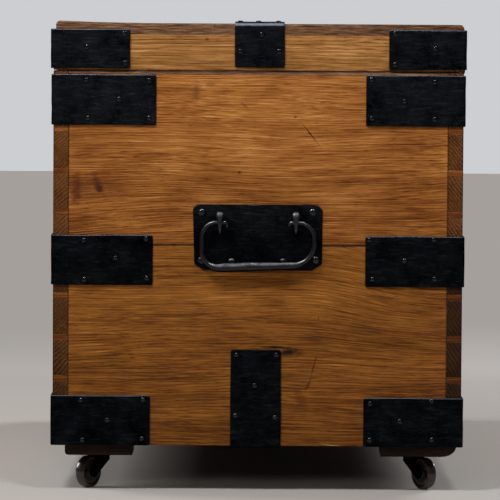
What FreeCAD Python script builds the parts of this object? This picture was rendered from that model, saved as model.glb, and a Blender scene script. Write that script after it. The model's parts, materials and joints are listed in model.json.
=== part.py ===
import FreeCAD, Part

import math
import os
from types import SimpleNamespace

import Sketcher

# A lidded oak chest, bound with iron straps and standing on four swivelling casters.
# Millimetres. +X runs along the chest, -Y is its front, +Y carries the hinges, +Z is up.
# The origin is on the floor, below the middle of the chest.

SIZES = {
    # Carcass boards
    "chest_length": 900.0,         # outside of the end boards
    "chest_depth": 483.0,          # outside of the front and back boards
    "body_height": 442.0,          # carcass without lid, blocks or casters
    "board_thickness": 18.0,       # carcass boards and the lid's rails
    "bottom_thickness": 15.0,      # bottom boards
    "bottom_rebate": 9.0,          # how far the bottom boards reach under the walls
    "glue_line": 0.1,              # gap between glued boards
    "top_lip": 4.0,                # strip glued on the end boards' upper edges
    # Dovetails
    "pin_width": 7.5,              # narrow side of a pin, on the outer face
    "pin_slope": 7.0,              # a pin widens by 1 in this many on each side
    "pin_first": 29.8,             # lowest pin's middle above the carcass bottom
    "pin_pitch": 49.0,             # middle to middle
    "pin_top": 15.0,               # least height above the last pin
    "end_seam_rise": 11.6,         # seam of the end boards above the pin below it
    "side_seam_rise": 24.5,        # seam of the front and back boards above the pin below it
    # Lid
    "lid_seam": 0.8,               # open line between carcass and lid
    "lid_rail": 42.5,              # height of the lid's frame
    "lid_board": 13.0,             # thickness of the boards on top
    "lid_setback": 2.8,            # front edge of the top boards behind the front rail
    "lid_round": 5.0,              # rounding of their long edges
    "lid_end_round": 2.0,          # rounding of their end edges, inside the iron's bend
    # Iron straps
    "strap_thickness": 2.6,
    "strap_width": 59.0,
    "strap_leg": 118.0,            # from the corner to the free end
    "strap_bend": 2.4,             # outer rounding of a bent strap
    "strap_bottom_gap": 0.6,       # carcass bottom to the lowest strap
    "strap_top_gap": 5.5,          # top strap to the carcass top
    "strap_corner": 3.0,           # clipped corners of a strap's free end
    "lid_strap_height": 47.0,
    "lid_strap_leg": 92.5,
    "lid_strap_lift": 2.0,         # above the lower edge of the lid
    "centre_strap_rise": 114.0,    # bottom centre strap up the end
    "centre_lid_lift": 4.0,        # lid centre strap above the lower edge of the lid
    # Domed nails
    "nail_head": 6.8,
    "nail_dome": 2.4,
    "nail_shank": 3.0,
    "nail_length": 12.0,
    "nail_clearance": 0.3,         # around a shank in its iron
    "nail_inset": 7.0,             # from the long edges of a strap
    "nail_end": 8.0,               # outer row from the free end
    "nail_row": 36.0,              # row to row
    "lid_nail_rise": 18.0,         # lower pair above the end of the lid centre strap
    "lid_nail_top": 36.0,          # single nail above that end
    "hinge_nail_drop": 24.0,       # single nail below the head of the hinge's lid leaf
    # Handles
    "plate_length": 152.5,
    "plate_height": 78.0,
    "plate_thickness": 2.2,
    "plate_corner": 4.5,           # clipped upper corners
    "plate_lower_corner": 8.0,     # clipped lower corners
    "plate_centre": 246.8,         # above the carcass bottom
    "plate_nail_inset": 10.0,
    "plate_nail_side": 30.0,       # lower nails from the middle of the plate
    "bail_axis_rise": 17.7,        # above the middle of the plate
    "bail_axis_out": 11.0,         # from the outer face of the end board
    "bail_stub": 5.4,              # bar diameter in the eyes
    "bail_grip": 8.8,              # bar diameter at the grip
    "bail_span": 133.0,            # middle of one arm to middle of the other
    "bail_drop": 52.0,             # axis to the middle of the grip
    "bail_shoulder": 17.0,         # bend outside the eyes
    "bail_corner": 15.0,           # bend at the ends of the grip
    "bail_swell": 26.0,            # half length of the grip's full thickness
    "bail_clearance": 0.45,        # around the bar in an eye
    "post_spacing": 89.4,
    "post_width": 7.2,
    "post_height": 25.0,
    "post_wall": 3.6,              # iron in front of the bar
    "post_nose": 12.5,             # height of an eye's flat front
    "post_round": 1.8,             # rounding of that front
    "post_shank": 6.6,
    "post_clearance": 0.2,
    "stub_end": 9.0,               # bar past the inner side of an eye
    "washer": 16.0,
    "washer_thickness": 1.6,
    "rivet_head": 1.6,             # height of a riveted end
    "post_rivet": 10.5,            # its diameter on a post's shank
    # Caster blocks and casters
    "block_side": 80.0,
    "block_height": 12.0,
    "block_inset": 14.0,
    "block_round": 4.0,            # rounding of their outer lower edges
    "wheel_diameter": 38.0,
    "wheel_tread": 12.0,
    "wheel_hub": 14.0,
    "wheel_web": 9.0,              # thickness between hub and rim
    "wheel_rim": 4.0,              # depth of the rim
    "wheel_round": 2.0,            # bevel of the rim's edges
    "wheel_headroom": 4.5,         # wheel top to the block
    "caster_trail": 3.0,           # wheel's near edge ahead of the swivel axis
    "caster_plate": 40.0,
    "caster_plate_thickness": 2.4,
    "kingpin": 6.0,
    "kingpin_head": 9.0,
    "crown": 22.0,
    "crown_thickness": 3.6,
    "fork_cheek": 2.5,
    "fork_heel": 8.0,              # cheeks behind the swivel axis
    "fork_boss": 12.0,             # round end of a cheek about the axle
    "axle": 5.0,
    "axle_head": 8.5,
    "screw_head": 6.0,
    "screw_dome": 1.2,
    "screw_length": 14.0,
    "screw_inset": 6.0,
    # Rest angles of the swivels, from the +X axis
    "swivel_front_right": -35.0,
    "swivel_back_right": 33.0,
    "swivel_front_left": 200.0,
    "swivel_back_left": 118.0,
    # Hinges
    "hinge_from_end": 200.0,       # middle of a hinge from the chest's end
    "hinge_width": 59.0,
    "hinge_leaf": 118.0,           # body leaf down the back
    "barrel": 10.2,
    "hinge_pin": 5.0,
    "hinge_pin_head": 7.5,
    "knuckle": 18.0,               # each outer knuckle
    # Lock
    "lock_length": 68.0,
    "lock_height": 56.0,
    "lock_depth": 13.0,
    "lock_wall": 1.6,
    "lock_clearance": 0.2,
    "key_height": 22.0,            # keyhole below the carcass top
    "keyhole": 7.0,
    "keyhole_slot": 3.4,
    "keyhole_drop": 14.5,          # reach of the key's bit
    "key_clear": 9.7,              # keyhole's middle to the rests that the bolt slides on
    "bolt_length": 44.0,
    "bolt_height": 5.0,
    "bolt_thickness": 4.0,
    "bolt_travel": 11.5,
    "bolt_below_top": 6.4,         # middle of the bolt below the carcass top
    "talon": 6.0,                  # notch that the key works in
    "rest_length": 8.0,            # rest behind the keyhole
    "rest_height": 1.6,
    "bolt_rest_gap": 1.2,          # drawn bolt to the link staple
    "link_offset": 18.0,           # link staple from the keyhole
    "link_thickness": 4.0,
    "link_width": 9.6,
    "link_wall": 2.0,
    "link_clearance": 0.6,         # around the staple in its slot and the bolt in the staple
    "link_plate_length": 50.0,
    "link_plate_thickness": 2.0,
    "escutcheon_width": 34.0,
    "escutcheon_height": 46.0,
    "escutcheon_thickness": 2.0,
    "escutcheon_corner": 5.0,
    "escutcheon_pin": 1.6,         # shank of the small pins that hold it
    "escutcheon_pin_head": 3.6,
    "escutcheon_pin_dome": 0.8,
    "escutcheon_pin_grip": 3.6,    # how deep they go into the board
    "escutcheon_pin_inset": 5.0,
    # Gaps
    "shaft_gap": 0.08,             # around a shaft that turns in its bore
    "running_gap": 0.3,            # between pieces that move past each other
}

STRAP_ROWS = 3                     # corner straps one above the other
BOTTOM_BOARD_COUNT = 4
LID_BOARD_COUNT = 3
LEFT_RIGHT = (-1, 1)
DOME_PROFILE = ((1.0, 0.0), (0.92, 0.45), (0.64, 0.8), (0.3, 0.96))  # shares of radius and height
BOSS_EDGE = (0.8, 0.6)             # where a cheek's edges meet its boss, in shares of the radius
NEAR = 1e-4                        # two coordinates closer than this are the same
PAST = 1.0                         # how far a cut runs past the face that it opens

DOCUMENT = FreeCAD.newDocument("iron_bound_chest")
SHEET = DOCUMENT.addObject("Spreadsheet::Sheet", "Sizes")
for row, (alias, value) in enumerate(SIZES.items(), 1):
    SHEET.set(f"A{row}", alias)
    SHEET.set(f"B{row}", str(value))
    SHEET.setAlias(f"B{row}", alias)
DOCUMENT.recompute()


class Measure:
    """A size worked out from the sheet: its text is the expression, its value the number."""

    def __init__(self, text, value):
        self.text = text
        self.value = value

    def __add__(self, other):
        return combine(self, "+", other, self.value + number(other))

    def __radd__(self, other):
        return combine(other, "+", self, number(other) + self.value)

    def __sub__(self, other):
        return combine(self, "-", other, self.value - number(other))

    def __rsub__(self, other):
        return combine(other, "-", self, number(other) - self.value)

    def __mul__(self, other):
        return combine(self, "*", other, self.value * number(other))

    def __rmul__(self, other):
        return combine(other, "*", self, number(other) * self.value)

    def __truediv__(self, other):
        return combine(self, "/", other, self.value / number(other))

    def __neg__(self):
        return Measure(f"(0 - {self.text})", -self.value)


def number(item):
    return item.value if isinstance(item, Measure) else float(item)


def text(item):
    return item.text if isinstance(item, Measure) else f"({item})"


def combine(left, sign, right, value):
    return Measure(f"({text(left)} {sign} {text(right)})", value)


def cosine(angle):
    return Measure(f"cos({angle.text} * 1 deg)", math.cos(math.radians(angle.value)))


def sine(angle):
    return Measure(f"sin({angle.text} * 1 deg)", math.sin(math.radians(angle.value)))


ZERO = Measure("0", 0.0)
size = SimpleNamespace(**{alias: Measure(f"Sizes.{alias}", SHEET.get(alias)) for alias in SIZES})

# Planes and levels that several pieces share
end_face = size.chest_length / 2
side_face = size.chest_depth / 2
end_inside = end_face - size.board_thickness
side_inside = side_face - size.board_thickness
caster_height = size.wheel_diameter + size.wheel_headroom
body_low = caster_height + size.block_height
body_high = body_low + size.body_height
floor_top = body_low + size.bottom_thickness
lid_low = body_high + size.lid_seam
lid_boards_low = lid_low + size.lid_rail
lid_high = lid_boards_low + size.lid_board
lid_front = side_face - size.lid_setback
plate_level = body_low + size.plate_centre
bail_level = plate_level + size.bail_axis_rise
bail_line = end_face + size.bail_axis_out
post_side = size.post_spacing / 2
block_middle = size.block_inset + size.block_side / 2
swivel_x = end_face - block_middle
swivel_y = side_face - block_middle
trail = size.wheel_diameter / 2 + size.caster_trail
axle_level = size.wheel_diameter / 2
crown_high = caster_height - size.caster_plate_thickness - size.running_gap
crown_low = crown_high - size.crown_thickness
hinge_level = body_high + size.lid_seam / 2
hinge_line = side_face + size.barrel / 2 + size.running_gap
hinge_middle = end_face - size.hinge_from_end
key_level = body_high - size.key_height
bolt_level = body_high - size.bolt_below_top
lock_line = side_inside + size.lock_depth / 2
strap_room = size.body_height - size.strap_bottom_gap - size.strap_top_gap
strap_pitch = (strap_room - size.strap_width) / (STRAP_ROWS - 1)


# Building helpers

def bind(item, name, measure):
    """Tie one property to the sheet."""
    item.setExpression(name, text(measure))


def new_body(name):
    return DOCUMENT.addObject("PartDesign::Body", name)


def tie_point(sketch, geometry, end, across, up):
    """Hold one point of a sketch at two measures from its origin."""
    for kind, measure in (("DistanceX", across), ("DistanceY", up)):
        constraint = Sketcher.Constraint(kind, -1, 1, geometry, end, number(measure))
        added = sketch.addConstraint(constraint)
        sketch.setExpression(f"Constraints[{added}]", text(measure))


def draw_polygon(sketch, corners):
    """Closed outline of straight lines through the corners."""
    points = [FreeCAD.Vector(number(across), number(up), 0) for across, up in corners]
    count = len(points)
    first = sketch.GeometryCount
    for index in range(count):
        sketch.addGeometry(Part.LineSegment(points[index], points[(index + 1) % count]))
    for index in range(count):
        following = first + (index + 1) % count
        sketch.addConstraint(Sketcher.Constraint("Coincident", first + index, 2, following, 1))
    for index, (across, up) in enumerate(corners):
        tie_point(sketch, first + index, 1, across, up)


def draw_circle(sketch, across, up, diameter):
    centre = FreeCAD.Vector(number(across), number(up), 0)
    circle = sketch.addGeometry(Part.Circle(centre, FreeCAD.Vector(0, 0, 1), number(diameter) / 2))
    tie_point(sketch, circle, 3, across, up)
    added = sketch.addConstraint(Sketcher.Constraint("Diameter", circle, number(diameter)))
    sketch.setExpression(f"Constraints[{added}]", text(diameter))


def sketch_on(owner, name, plane, level=ZERO):
    """Sketch in one of the body's own planes, moved to a level along the axis across it."""
    sketch = owner.newObject("Sketcher::SketchObject", name)
    support = next(item for item in owner.Origin.OriginFeatures if item.Role == plane)
    sketch.AttachmentSupport = (support, [""])
    sketch.MapMode = "FlatFace"
    # The normal of the XZ plane points to -Y.
    bind(sketch, "AttachmentOffset.Base.z", -level if plane == "XZ_Plane" else level)
    return sketch


def grow(owner, name, plane, low, high, polygons=(), circles=()):
    """Pad outlines in a plane from a low to a high level along the axis across it."""
    sketch = sketch_on(owner, f"{name}_sketch", plane, high if plane == "XZ_Plane" else low)
    for corners in polygons:
        draw_polygon(sketch, corners)
    for circle in circles:
        draw_circle(sketch, *circle)
    pad = owner.newObject("PartDesign::Pad", name)
    pad.Profile = sketch
    bind(pad, "Length", high - low)
    return pad


def carve(owner, name, plane, low, high, polygons=(), circles=()):
    """Pocket outlines in a plane from a high to a low level along the axis across it."""
    sketch = sketch_on(owner, f"{name}_sketch", plane, low if plane == "XZ_Plane" else high)
    for corners in polygons:
        draw_polygon(sketch, corners)
    for circle in circles:
        draw_circle(sketch, *circle)
    pocket = owner.newObject("PartDesign::Pocket", name)
    pocket.Profile = sketch
    bind(pocket, "Length", high - low)
    return pocket


def turn(owner, name, plane, corners):
    """Turn an outline of (radius, height) about the vertical axis of its sketch."""
    sketch = sketch_on(owner, f"{name}_sketch", plane)
    draw_polygon(sketch, corners)
    revolution = owner.newObject("PartDesign::Revolution", name)
    revolution.Profile = sketch
    revolution.ReferenceAxis = (sketch, ["V_Axis"])
    revolution.Angle = 360
    return revolution


def edges_in(feature, **planes):
    """Names of the edges whose ends lie in every given plane, such as x=end_face."""
    names = []
    for index, edge in enumerate(feature.Shape.Edges, 1):
        ends = [vertex.Point for vertex in edge.Vertexes]
        misses = [abs(getattr(end, axis) - number(level)) for end in ends for axis, level in planes.items()]
        if max(misses) < NEAR:
            names.append(f"Edge{index}")
    return names


def dress(owner, kind, name, feature, amount, *edge_sets):
    """Fillet or chamfer the edges of a feature that lie in the given sets of planes."""
    DOCUMENT.recompute()
    names = sorted({edge for planes in edge_sets for edge in edges_in(feature, **planes)})
    item = owner.newObject(f"PartDesign::{kind}", name)
    item.Base = (feature, names)
    bind(item, "Radius" if kind == "Fillet" else "Size", amount)
    return item


def repeat(owner, name, feature, axis, step, count):
    """Repeat one feature of a body along an axis of its sketch."""
    pattern = owner.newObject("PartDesign::LinearPattern", name)
    pattern.Originals = [feature]
    pattern.Direction = (feature.Profile[0], [axis])
    bind(pattern, "Length", step * (count - 1))
    pattern.Occurrences = count
    owner.Tip = pattern
    return pattern


def mirror(owner, name, plane):
    """Add the mirror image of the whole body across one of its origin planes."""
    feature = owner.newObject("PartDesign::Mirrored", name)
    feature.TransformMode = "Whole shape"
    feature.MirrorPlane = (next(item for item in owner.Origin.OriginFeatures if item.Role == plane), [""])
    owner.Tip = feature
    return feature


def rectangle(left, right, low, high):
    return [(left, low), (right, low), (right, high), (left, high)]


def place(item, x=ZERO, y=ZERO, z=ZERO, angle=0.0):
    """Stand a piece at a point, turned about the vertical."""
    turned = FreeCAD.Rotation(FreeCAD.Vector(0, 0, 1), number(angle))
    item.Placement = FreeCAD.Placement(FreeCAD.Vector(number(x), number(y), number(z)), turned)
    for axis, measure in (("x", x), ("y", y), ("z", z)):
        bind(item, f"Placement.Base.{axis}", measure)


def scatter(name, template, spots):
    """One node of separate solids: a copy of the template at each (x, y, z, direction)."""
    copies = []
    for count, (x, y, z, direction) in enumerate(spots, 1):
        copy = DOCUMENT.addObject("App::Link", f"{name}_{count}")
        copy.LinkedObject = template
        copy.Placement = FreeCAD.Placement(
            FreeCAD.Vector(number(x), number(y), number(z)),
            FreeCAD.Rotation(FreeCAD.Vector(0, 0, 1), FreeCAD.Vector(*direction)),
        )
        for axis, measure in (("x", x), ("y", y), ("z", z)):
            bind(copy, f"Placement.Base.{axis}", measure)
        copies.append(copy)
    group = DOCUMENT.addObject("Part::Compound", name)
    group.Links = copies
    return group


NODES = []


def finished(*pieces):
    """Add pieces to the list of nodes that are written."""
    NODES.extend(pieces)


# Dovetailed carcass

def pin_outline(level, gap):
    """Pin seen from the front: narrow at the end face, wider at the inside of the end board."""
    half = size.pin_width / 2 - gap
    spread = size.board_thickness / size.pin_slope
    return [
        (end_inside, level - half - spread),
        (end_face, level - half),
        (end_face, level + half),
        (end_inside, level + half + spread),
    ]


def mirrored_outline(corners):
    return [(-across, up) for across, up in reversed(corners)]


def pin_level(index):
    return body_low + size.pin_first + size.pin_pitch * index


def pins_up_to(reach):
    """How many pins have their middle at or below a height above the carcass bottom."""
    return int((reach - size.pin_first).value / size.pin_pitch.value) + 1


PIN_COUNT = pins_up_to(size.body_height - size.pin_top)
LOWER_PINS = pins_up_to(size.plate_centre - size.end_seam_rise)  # the handle plate covers the end seam
LOWER_SOCKETS = LOWER_PINS - 1
end_seam = pin_level(LOWER_PINS - 1) + size.end_seam_rise
side_seam = pin_level(LOWER_SOCKETS - 1) + size.side_seam_rise
recess_x = end_inside + size.bottom_rebate
recess_y = side_inside + size.bottom_rebate


def end_board(name, angle, low, high, first_pin, pins):
    """End board with its pins, which run out through the front and back boards."""
    board = new_body(name)
    width = side_inside - size.glue_line
    grow(board, f"{name}_core", "YZ_Plane", end_inside, end_face,
         polygons=[rectangle(-width, width, low, high)])
    pin = grow(board, f"{name}_pin", "XZ_Plane", -side_face, side_face,
               polygons=[pin_outline(pin_level(first_pin), size.glue_line)])
    repeat(board, f"{name}_pins", pin, "V_Axis", size.pin_pitch, pins)
    place(board, angle=angle)
    finished(board)
    return board


def bottom_recess(board, name):
    """Rebate along the inner lower edge that the bottom boards sit in."""
    carve(board, f"{name}_rebate", "XY_Plane", body_low - PAST, floor_top,
          polygons=[rectangle(-recess_x, recess_x, -recess_y, recess_y)])


def handle_holes(board, name):
    """Holes for the riveted shanks of the handle's eye posts."""
    diameter = size.post_shank + size.post_clearance * 2
    carve(board, f"{name}_post_holes", "YZ_Plane", end_inside - PAST, end_face + PAST,
          circles=[(side, bail_level, diameter) for side in (-post_side, post_side)])


def side_board(name, angle, low, high, first_pin, pins):
    """Front or back board: the tails are what its pin sockets leave."""
    board = new_body(name)
    grow(board, f"{name}_board", "XZ_Plane", -side_face, -side_inside,
         polygons=[rectangle(-end_face, end_face, low, high)])
    socket = pin_outline(pin_level(first_pin), ZERO)
    sockets = carve(board, f"{name}_socket", "XZ_Plane", -side_face - PAST, -side_inside + PAST,
                    polygons=[socket, mirrored_outline(socket)])
    repeat(board, f"{name}_sockets", sockets, "V_Axis", size.pin_pitch, pins)
    place(board, angle=angle)
    finished(board)
    return board


for side, angle in (("right", 0.0), ("left", 180.0)):
    lower = end_board(f"{side}_end_lower_board", angle, body_low, end_seam, 0, LOWER_PINS)
    bottom_recess(lower, lower.Name)
    upper = end_board(f"{side}_end_upper_board", angle, end_seam + size.glue_line,
                      body_high - size.top_lip - size.glue_line, LOWER_PINS, PIN_COUNT - LOWER_PINS)
    handle_holes(upper, upper.Name)

for side, angle in (("front", 0.0), ("back", 180.0)):
    lower = side_board(f"{side}_lower_board", angle, body_low, side_seam, 0, LOWER_SOCKETS)
    bottom_recess(lower, lower.Name)
    upper = side_board(f"{side}_upper_board", angle, side_seam + size.glue_line, body_high,
                       LOWER_SOCKETS, PIN_COUNT - LOWER_SOCKETS)
    if side == "front":
        front_upper_board = upper

lips = new_body("end_top_lips")
lip_width = side_inside - size.glue_line
grow(lips, "lip", "YZ_Plane", end_inside, end_face,
     polygons=[rectangle(-lip_width, lip_width, body_high - size.top_lip, body_high)])
mirror(lips, "lip_pair", "YZ_Plane")
finished(lips)

bottom = new_body("bottom_boards")
bottom_reach_x = recess_x - size.glue_line
bottom_reach_y = recess_y - size.glue_line
bottom_step = (bottom_reach_y * 2 + size.glue_line) / BOTTOM_BOARD_COUNT
bottom_plank = grow(bottom, "bottom_plank", "XY_Plane", body_low, floor_top - size.glue_line,
                    polygons=[rectangle(-bottom_reach_x, bottom_reach_x, -bottom_reach_y,
                                        -bottom_reach_y + bottom_step - size.glue_line)])
repeat(bottom, "bottom_planks", bottom_plank, "V_Axis", bottom_step, BOTTOM_BOARD_COUNT)
finished(bottom)

blocks = new_body("caster_blocks")
block_far_x = end_face - size.block_inset
block_far_y = side_face - size.block_inset
block = grow(blocks, "block", "XY_Plane", caster_height, body_low,
             polygons=[rectangle(block_far_x - size.block_side, block_far_x,
                                 block_far_y - size.block_side, block_far_y)])
dress(blocks, "Fillet", "block_rounded", block, size.block_round,
      {"z": caster_height, "x": block_far_x}, {"z": caster_height, "y": block_far_y})
mirror(blocks, "block_pair", "YZ_Plane")
mirror(blocks, "block_four", "XZ_Plane")
finished(blocks)


# Lid

def lid_side_rail(name, angle):
    rail = new_body(name)
    grow(rail, f"{name}_rail", "XZ_Plane", -side_face, -side_inside,
         polygons=[rectangle(-end_face, end_face, lid_low, lid_boards_low - size.glue_line)])
    place(rail, angle=angle)
    finished(rail)
    return rail


def lid_end_rail(name, angle):
    rail = new_body(name)
    width = side_inside - size.glue_line
    grow(rail, f"{name}_rail", "YZ_Plane", end_inside, end_face,
         polygons=[rectangle(-width, width, lid_low, lid_boards_low - size.glue_line)])
    place(rail, angle=angle)
    finished(rail)


lid_front_rail = lid_side_rail("lid_front_rail", 0.0)
lid_side_rail("lid_back_rail", 180.0)
lid_end_rail("lid_right_rail", 0.0)
lid_end_rail("lid_left_rail", 180.0)

lid_step = (lid_front + side_face + size.glue_line) / LID_BOARD_COUNT
for index, name in enumerate(("lid_front_board", "lid_middle_board", "lid_back_board")):
    plank = new_body(name)
    near = -lid_front + lid_step * index
    far = near + lid_step - size.glue_line
    slab = grow(plank, f"{name}_slab", "XZ_Plane", near, far,
                polygons=[rectangle(-end_face, end_face, lid_boards_low, lid_high)])
    slab = dress(plank, "Fillet", f"{name}_end_edges", slab, size.lid_end_round,
                 {"z": lid_high, "x": end_face}, {"z": lid_high, "x": -end_face})
    if index == 0:
        dress(plank, "Fillet", f"{name}_long_edge", slab, size.lid_round, {"z": lid_high, "y": near})
    if index == LID_BOARD_COUNT - 1:
        dress(plank, "Fillet", f"{name}_long_edge", slab, size.lid_round, {"z": lid_high, "y": far})
    finished(plank)


# Iron straps

hole = size.nail_shank + size.nail_clearance * 2
strap_side = size.strap_width / 2 - size.nail_inset
strap_spots = [
    (size.strap_leg - size.nail_end, -strap_side),
    (size.strap_leg - size.nail_end, strap_side),
    (size.strap_leg - size.nail_end - size.nail_row, ZERO),
    (size.strap_leg - size.nail_end - size.nail_row * 2, -strap_side),
    (size.strap_leg - size.nail_end - size.nail_row * 2, strap_side),
]
strap_low = body_low + size.strap_bottom_gap
strap_middle = strap_low + size.strap_width / 2
lid_strap_low = lid_low + size.lid_strap_lift
lid_strap_middle = lid_strap_low + size.lid_strap_height / 2
lid_strap_side = size.lid_strap_height / 2 - size.nail_inset
lid_strap_spots = [
    (size.lid_strap_leg - size.nail_inset, -lid_strap_side),
    (size.lid_strap_leg - size.nail_inset, lid_strap_side),
    (size.lid_strap_leg - size.nail_end - size.nail_row, ZERO),
]


def angle_strap(strap, name, low, high, leg, middle, spots):
    """Strap bent round an upright corner of wood that fills the quadrant -X, +Y."""
    iron = size.strap_thickness
    bar = grow(strap, f"{name}_bar", "XY_Plane", low, high, polygons=[[
        (-leg, -iron), (iron, -iron), (iron, leg), (ZERO, leg), (ZERO, ZERO), (-leg, ZERO)]])
    bar = dress(strap, "Fillet", f"{name}_bend", bar, size.strap_bend, {"x": iron, "y": -iron})
    bar = dress(strap, "Chamfer", f"{name}_ends", bar, size.strap_corner,
                {"z": low, "y": leg}, {"z": high, "y": leg}, {"z": low, "x": -leg}, {"z": high, "x": -leg})
    carve(strap, f"{name}_end_holes", "YZ_Plane", -PAST, iron + PAST,
          circles=[(along, middle + across, hole) for along, across in spots])
    carve(strap, f"{name}_side_holes", "XZ_Plane", -iron - PAST, PAST,
          circles=[(-along, middle + across, hole) for along, across in spots])


CORNERS = {
    "front_right": (1, -1, 0.0),
    "back_right": (1, 1, 90.0),
    "back_left": (-1, 1, 180.0),
    "front_left": (-1, -1, 270.0),
}

for corner, (toward_x, toward_y, angle) in CORNERS.items():
    straps = new_body(f"{corner}_corner_straps")
    angle_strap(straps, f"{corner}_strap", strap_low, strap_low + size.strap_width, size.strap_leg,
                strap_middle, strap_spots)
    rows = straps.newObject("PartDesign::LinearPattern", f"{corner}_strap_rows")
    rows.TransformMode = "Whole shape"
    rows.Direction = (next(item for item in straps.Origin.OriginFeatures if item.Role == "Z_Axis"), [""])
    bind(rows, "Length", strap_pitch * (STRAP_ROWS - 1))
    rows.Occurrences = STRAP_ROWS
    straps.Tip = rows
    place(straps, end_face * toward_x, side_face * toward_y, angle=angle)
    finished(straps)

lid_strap = new_body("lid_strap_pattern")
angle_strap(lid_strap, "lid_strap", ZERO, size.lid_strap_height, size.lid_strap_leg,
            size.lid_strap_height / 2, lid_strap_spots)
lid_strap_copies = []
for corner, (toward_x, toward_y, angle) in CORNERS.items():
    copy = DOCUMENT.addObject("App::Link", f"{corner}_lid_strap")
    copy.LinkedObject = lid_strap
    place(copy, end_face * toward_x, side_face * toward_y, lid_strap_low, angle)
    lid_strap_copies.append(copy)
lid_straps = DOCUMENT.addObject("Part::Compound", "lid_corner_straps")
lid_straps.Links = lid_strap_copies
finished(lid_straps)

centre_half = size.strap_width / 2
centre_under = size.strap_leg
centre_spots = [
    (size.nail_inset, -strap_side),
    (size.nail_inset, strap_side),
    (size.nail_inset + size.nail_row, ZERO),
    (size.nail_inset + size.nail_row * 2, -strap_side),
    (size.nail_inset + size.nail_row * 2, strap_side),
]
centre_high = body_low + size.centre_strap_rise
centre = new_body("bottom_centre_straps")
iron = size.strap_thickness
centre_bar = grow(centre, "centre_bar", "XZ_Plane", -centre_half, centre_half, polygons=[[
    (end_face, centre_high), (end_face, body_low), (end_face - centre_under, body_low),
    (end_face - centre_under, body_low - iron), (end_face + iron, body_low - iron),
    (end_face + iron, centre_high)]])
dress(centre, "Fillet", "centre_bend", centre_bar, size.strap_bend,
      {"x": end_face + iron, "z": body_low - iron})
carve(centre, "centre_end_holes", "YZ_Plane", end_face - PAST, end_face + iron + PAST,
      circles=[(across, centre_high - along, hole) for along, across in centre_spots])
carve(centre, "centre_under_holes", "XY_Plane", body_low - iron - PAST, body_low + PAST,
      circles=[(end_face - centre_under + along, across, hole) for along, across in centre_spots])
mirror(centre, "centre_pair", "YZ_Plane")
finished(centre)

lid_centre_low = lid_low + size.centre_lid_lift
lid_centre_end_spots = [
    (size.lid_nail_rise, -strap_side),
    (size.lid_nail_rise, strap_side),
    (size.lid_nail_top, ZERO),
]
lid_centre = new_body("lid_centre_straps")
lid_centre_far = end_face - size.strap_leg
lid_centre_bar = grow(lid_centre, "lid_centre_bar", "XZ_Plane", -centre_half, centre_half, polygons=[[
    (end_face, lid_centre_low), (end_face + iron, lid_centre_low), (end_face + iron, lid_high + iron),
    (lid_centre_far, lid_high + iron), (lid_centre_far, lid_high), (end_face, lid_high)]])
lid_centre_bar = dress(lid_centre, "Fillet", "lid_centre_bend", lid_centre_bar,
                       size.lid_end_round + iron,
                       {"x": end_face + iron, "z": lid_high + iron})
dress(lid_centre, "Fillet", "lid_centre_inner_bend", lid_centre_bar, size.lid_end_round,
      {"x": end_face, "z": lid_high})
carve(lid_centre, "lid_centre_end_holes", "YZ_Plane", end_face - PAST, end_face + iron + PAST,
      circles=[(across, lid_centre_low + along, hole) for along, across in lid_centre_end_spots])
carve(lid_centre, "lid_centre_top_holes", "XY_Plane", lid_high - PAST, lid_high + iron + PAST,
      circles=[(lid_centre_far + along, across, hole) for along, across in centre_spots])
mirror(lid_centre, "lid_centre_pair", "YZ_Plane")
finished(lid_centre)


# Handles

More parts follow.
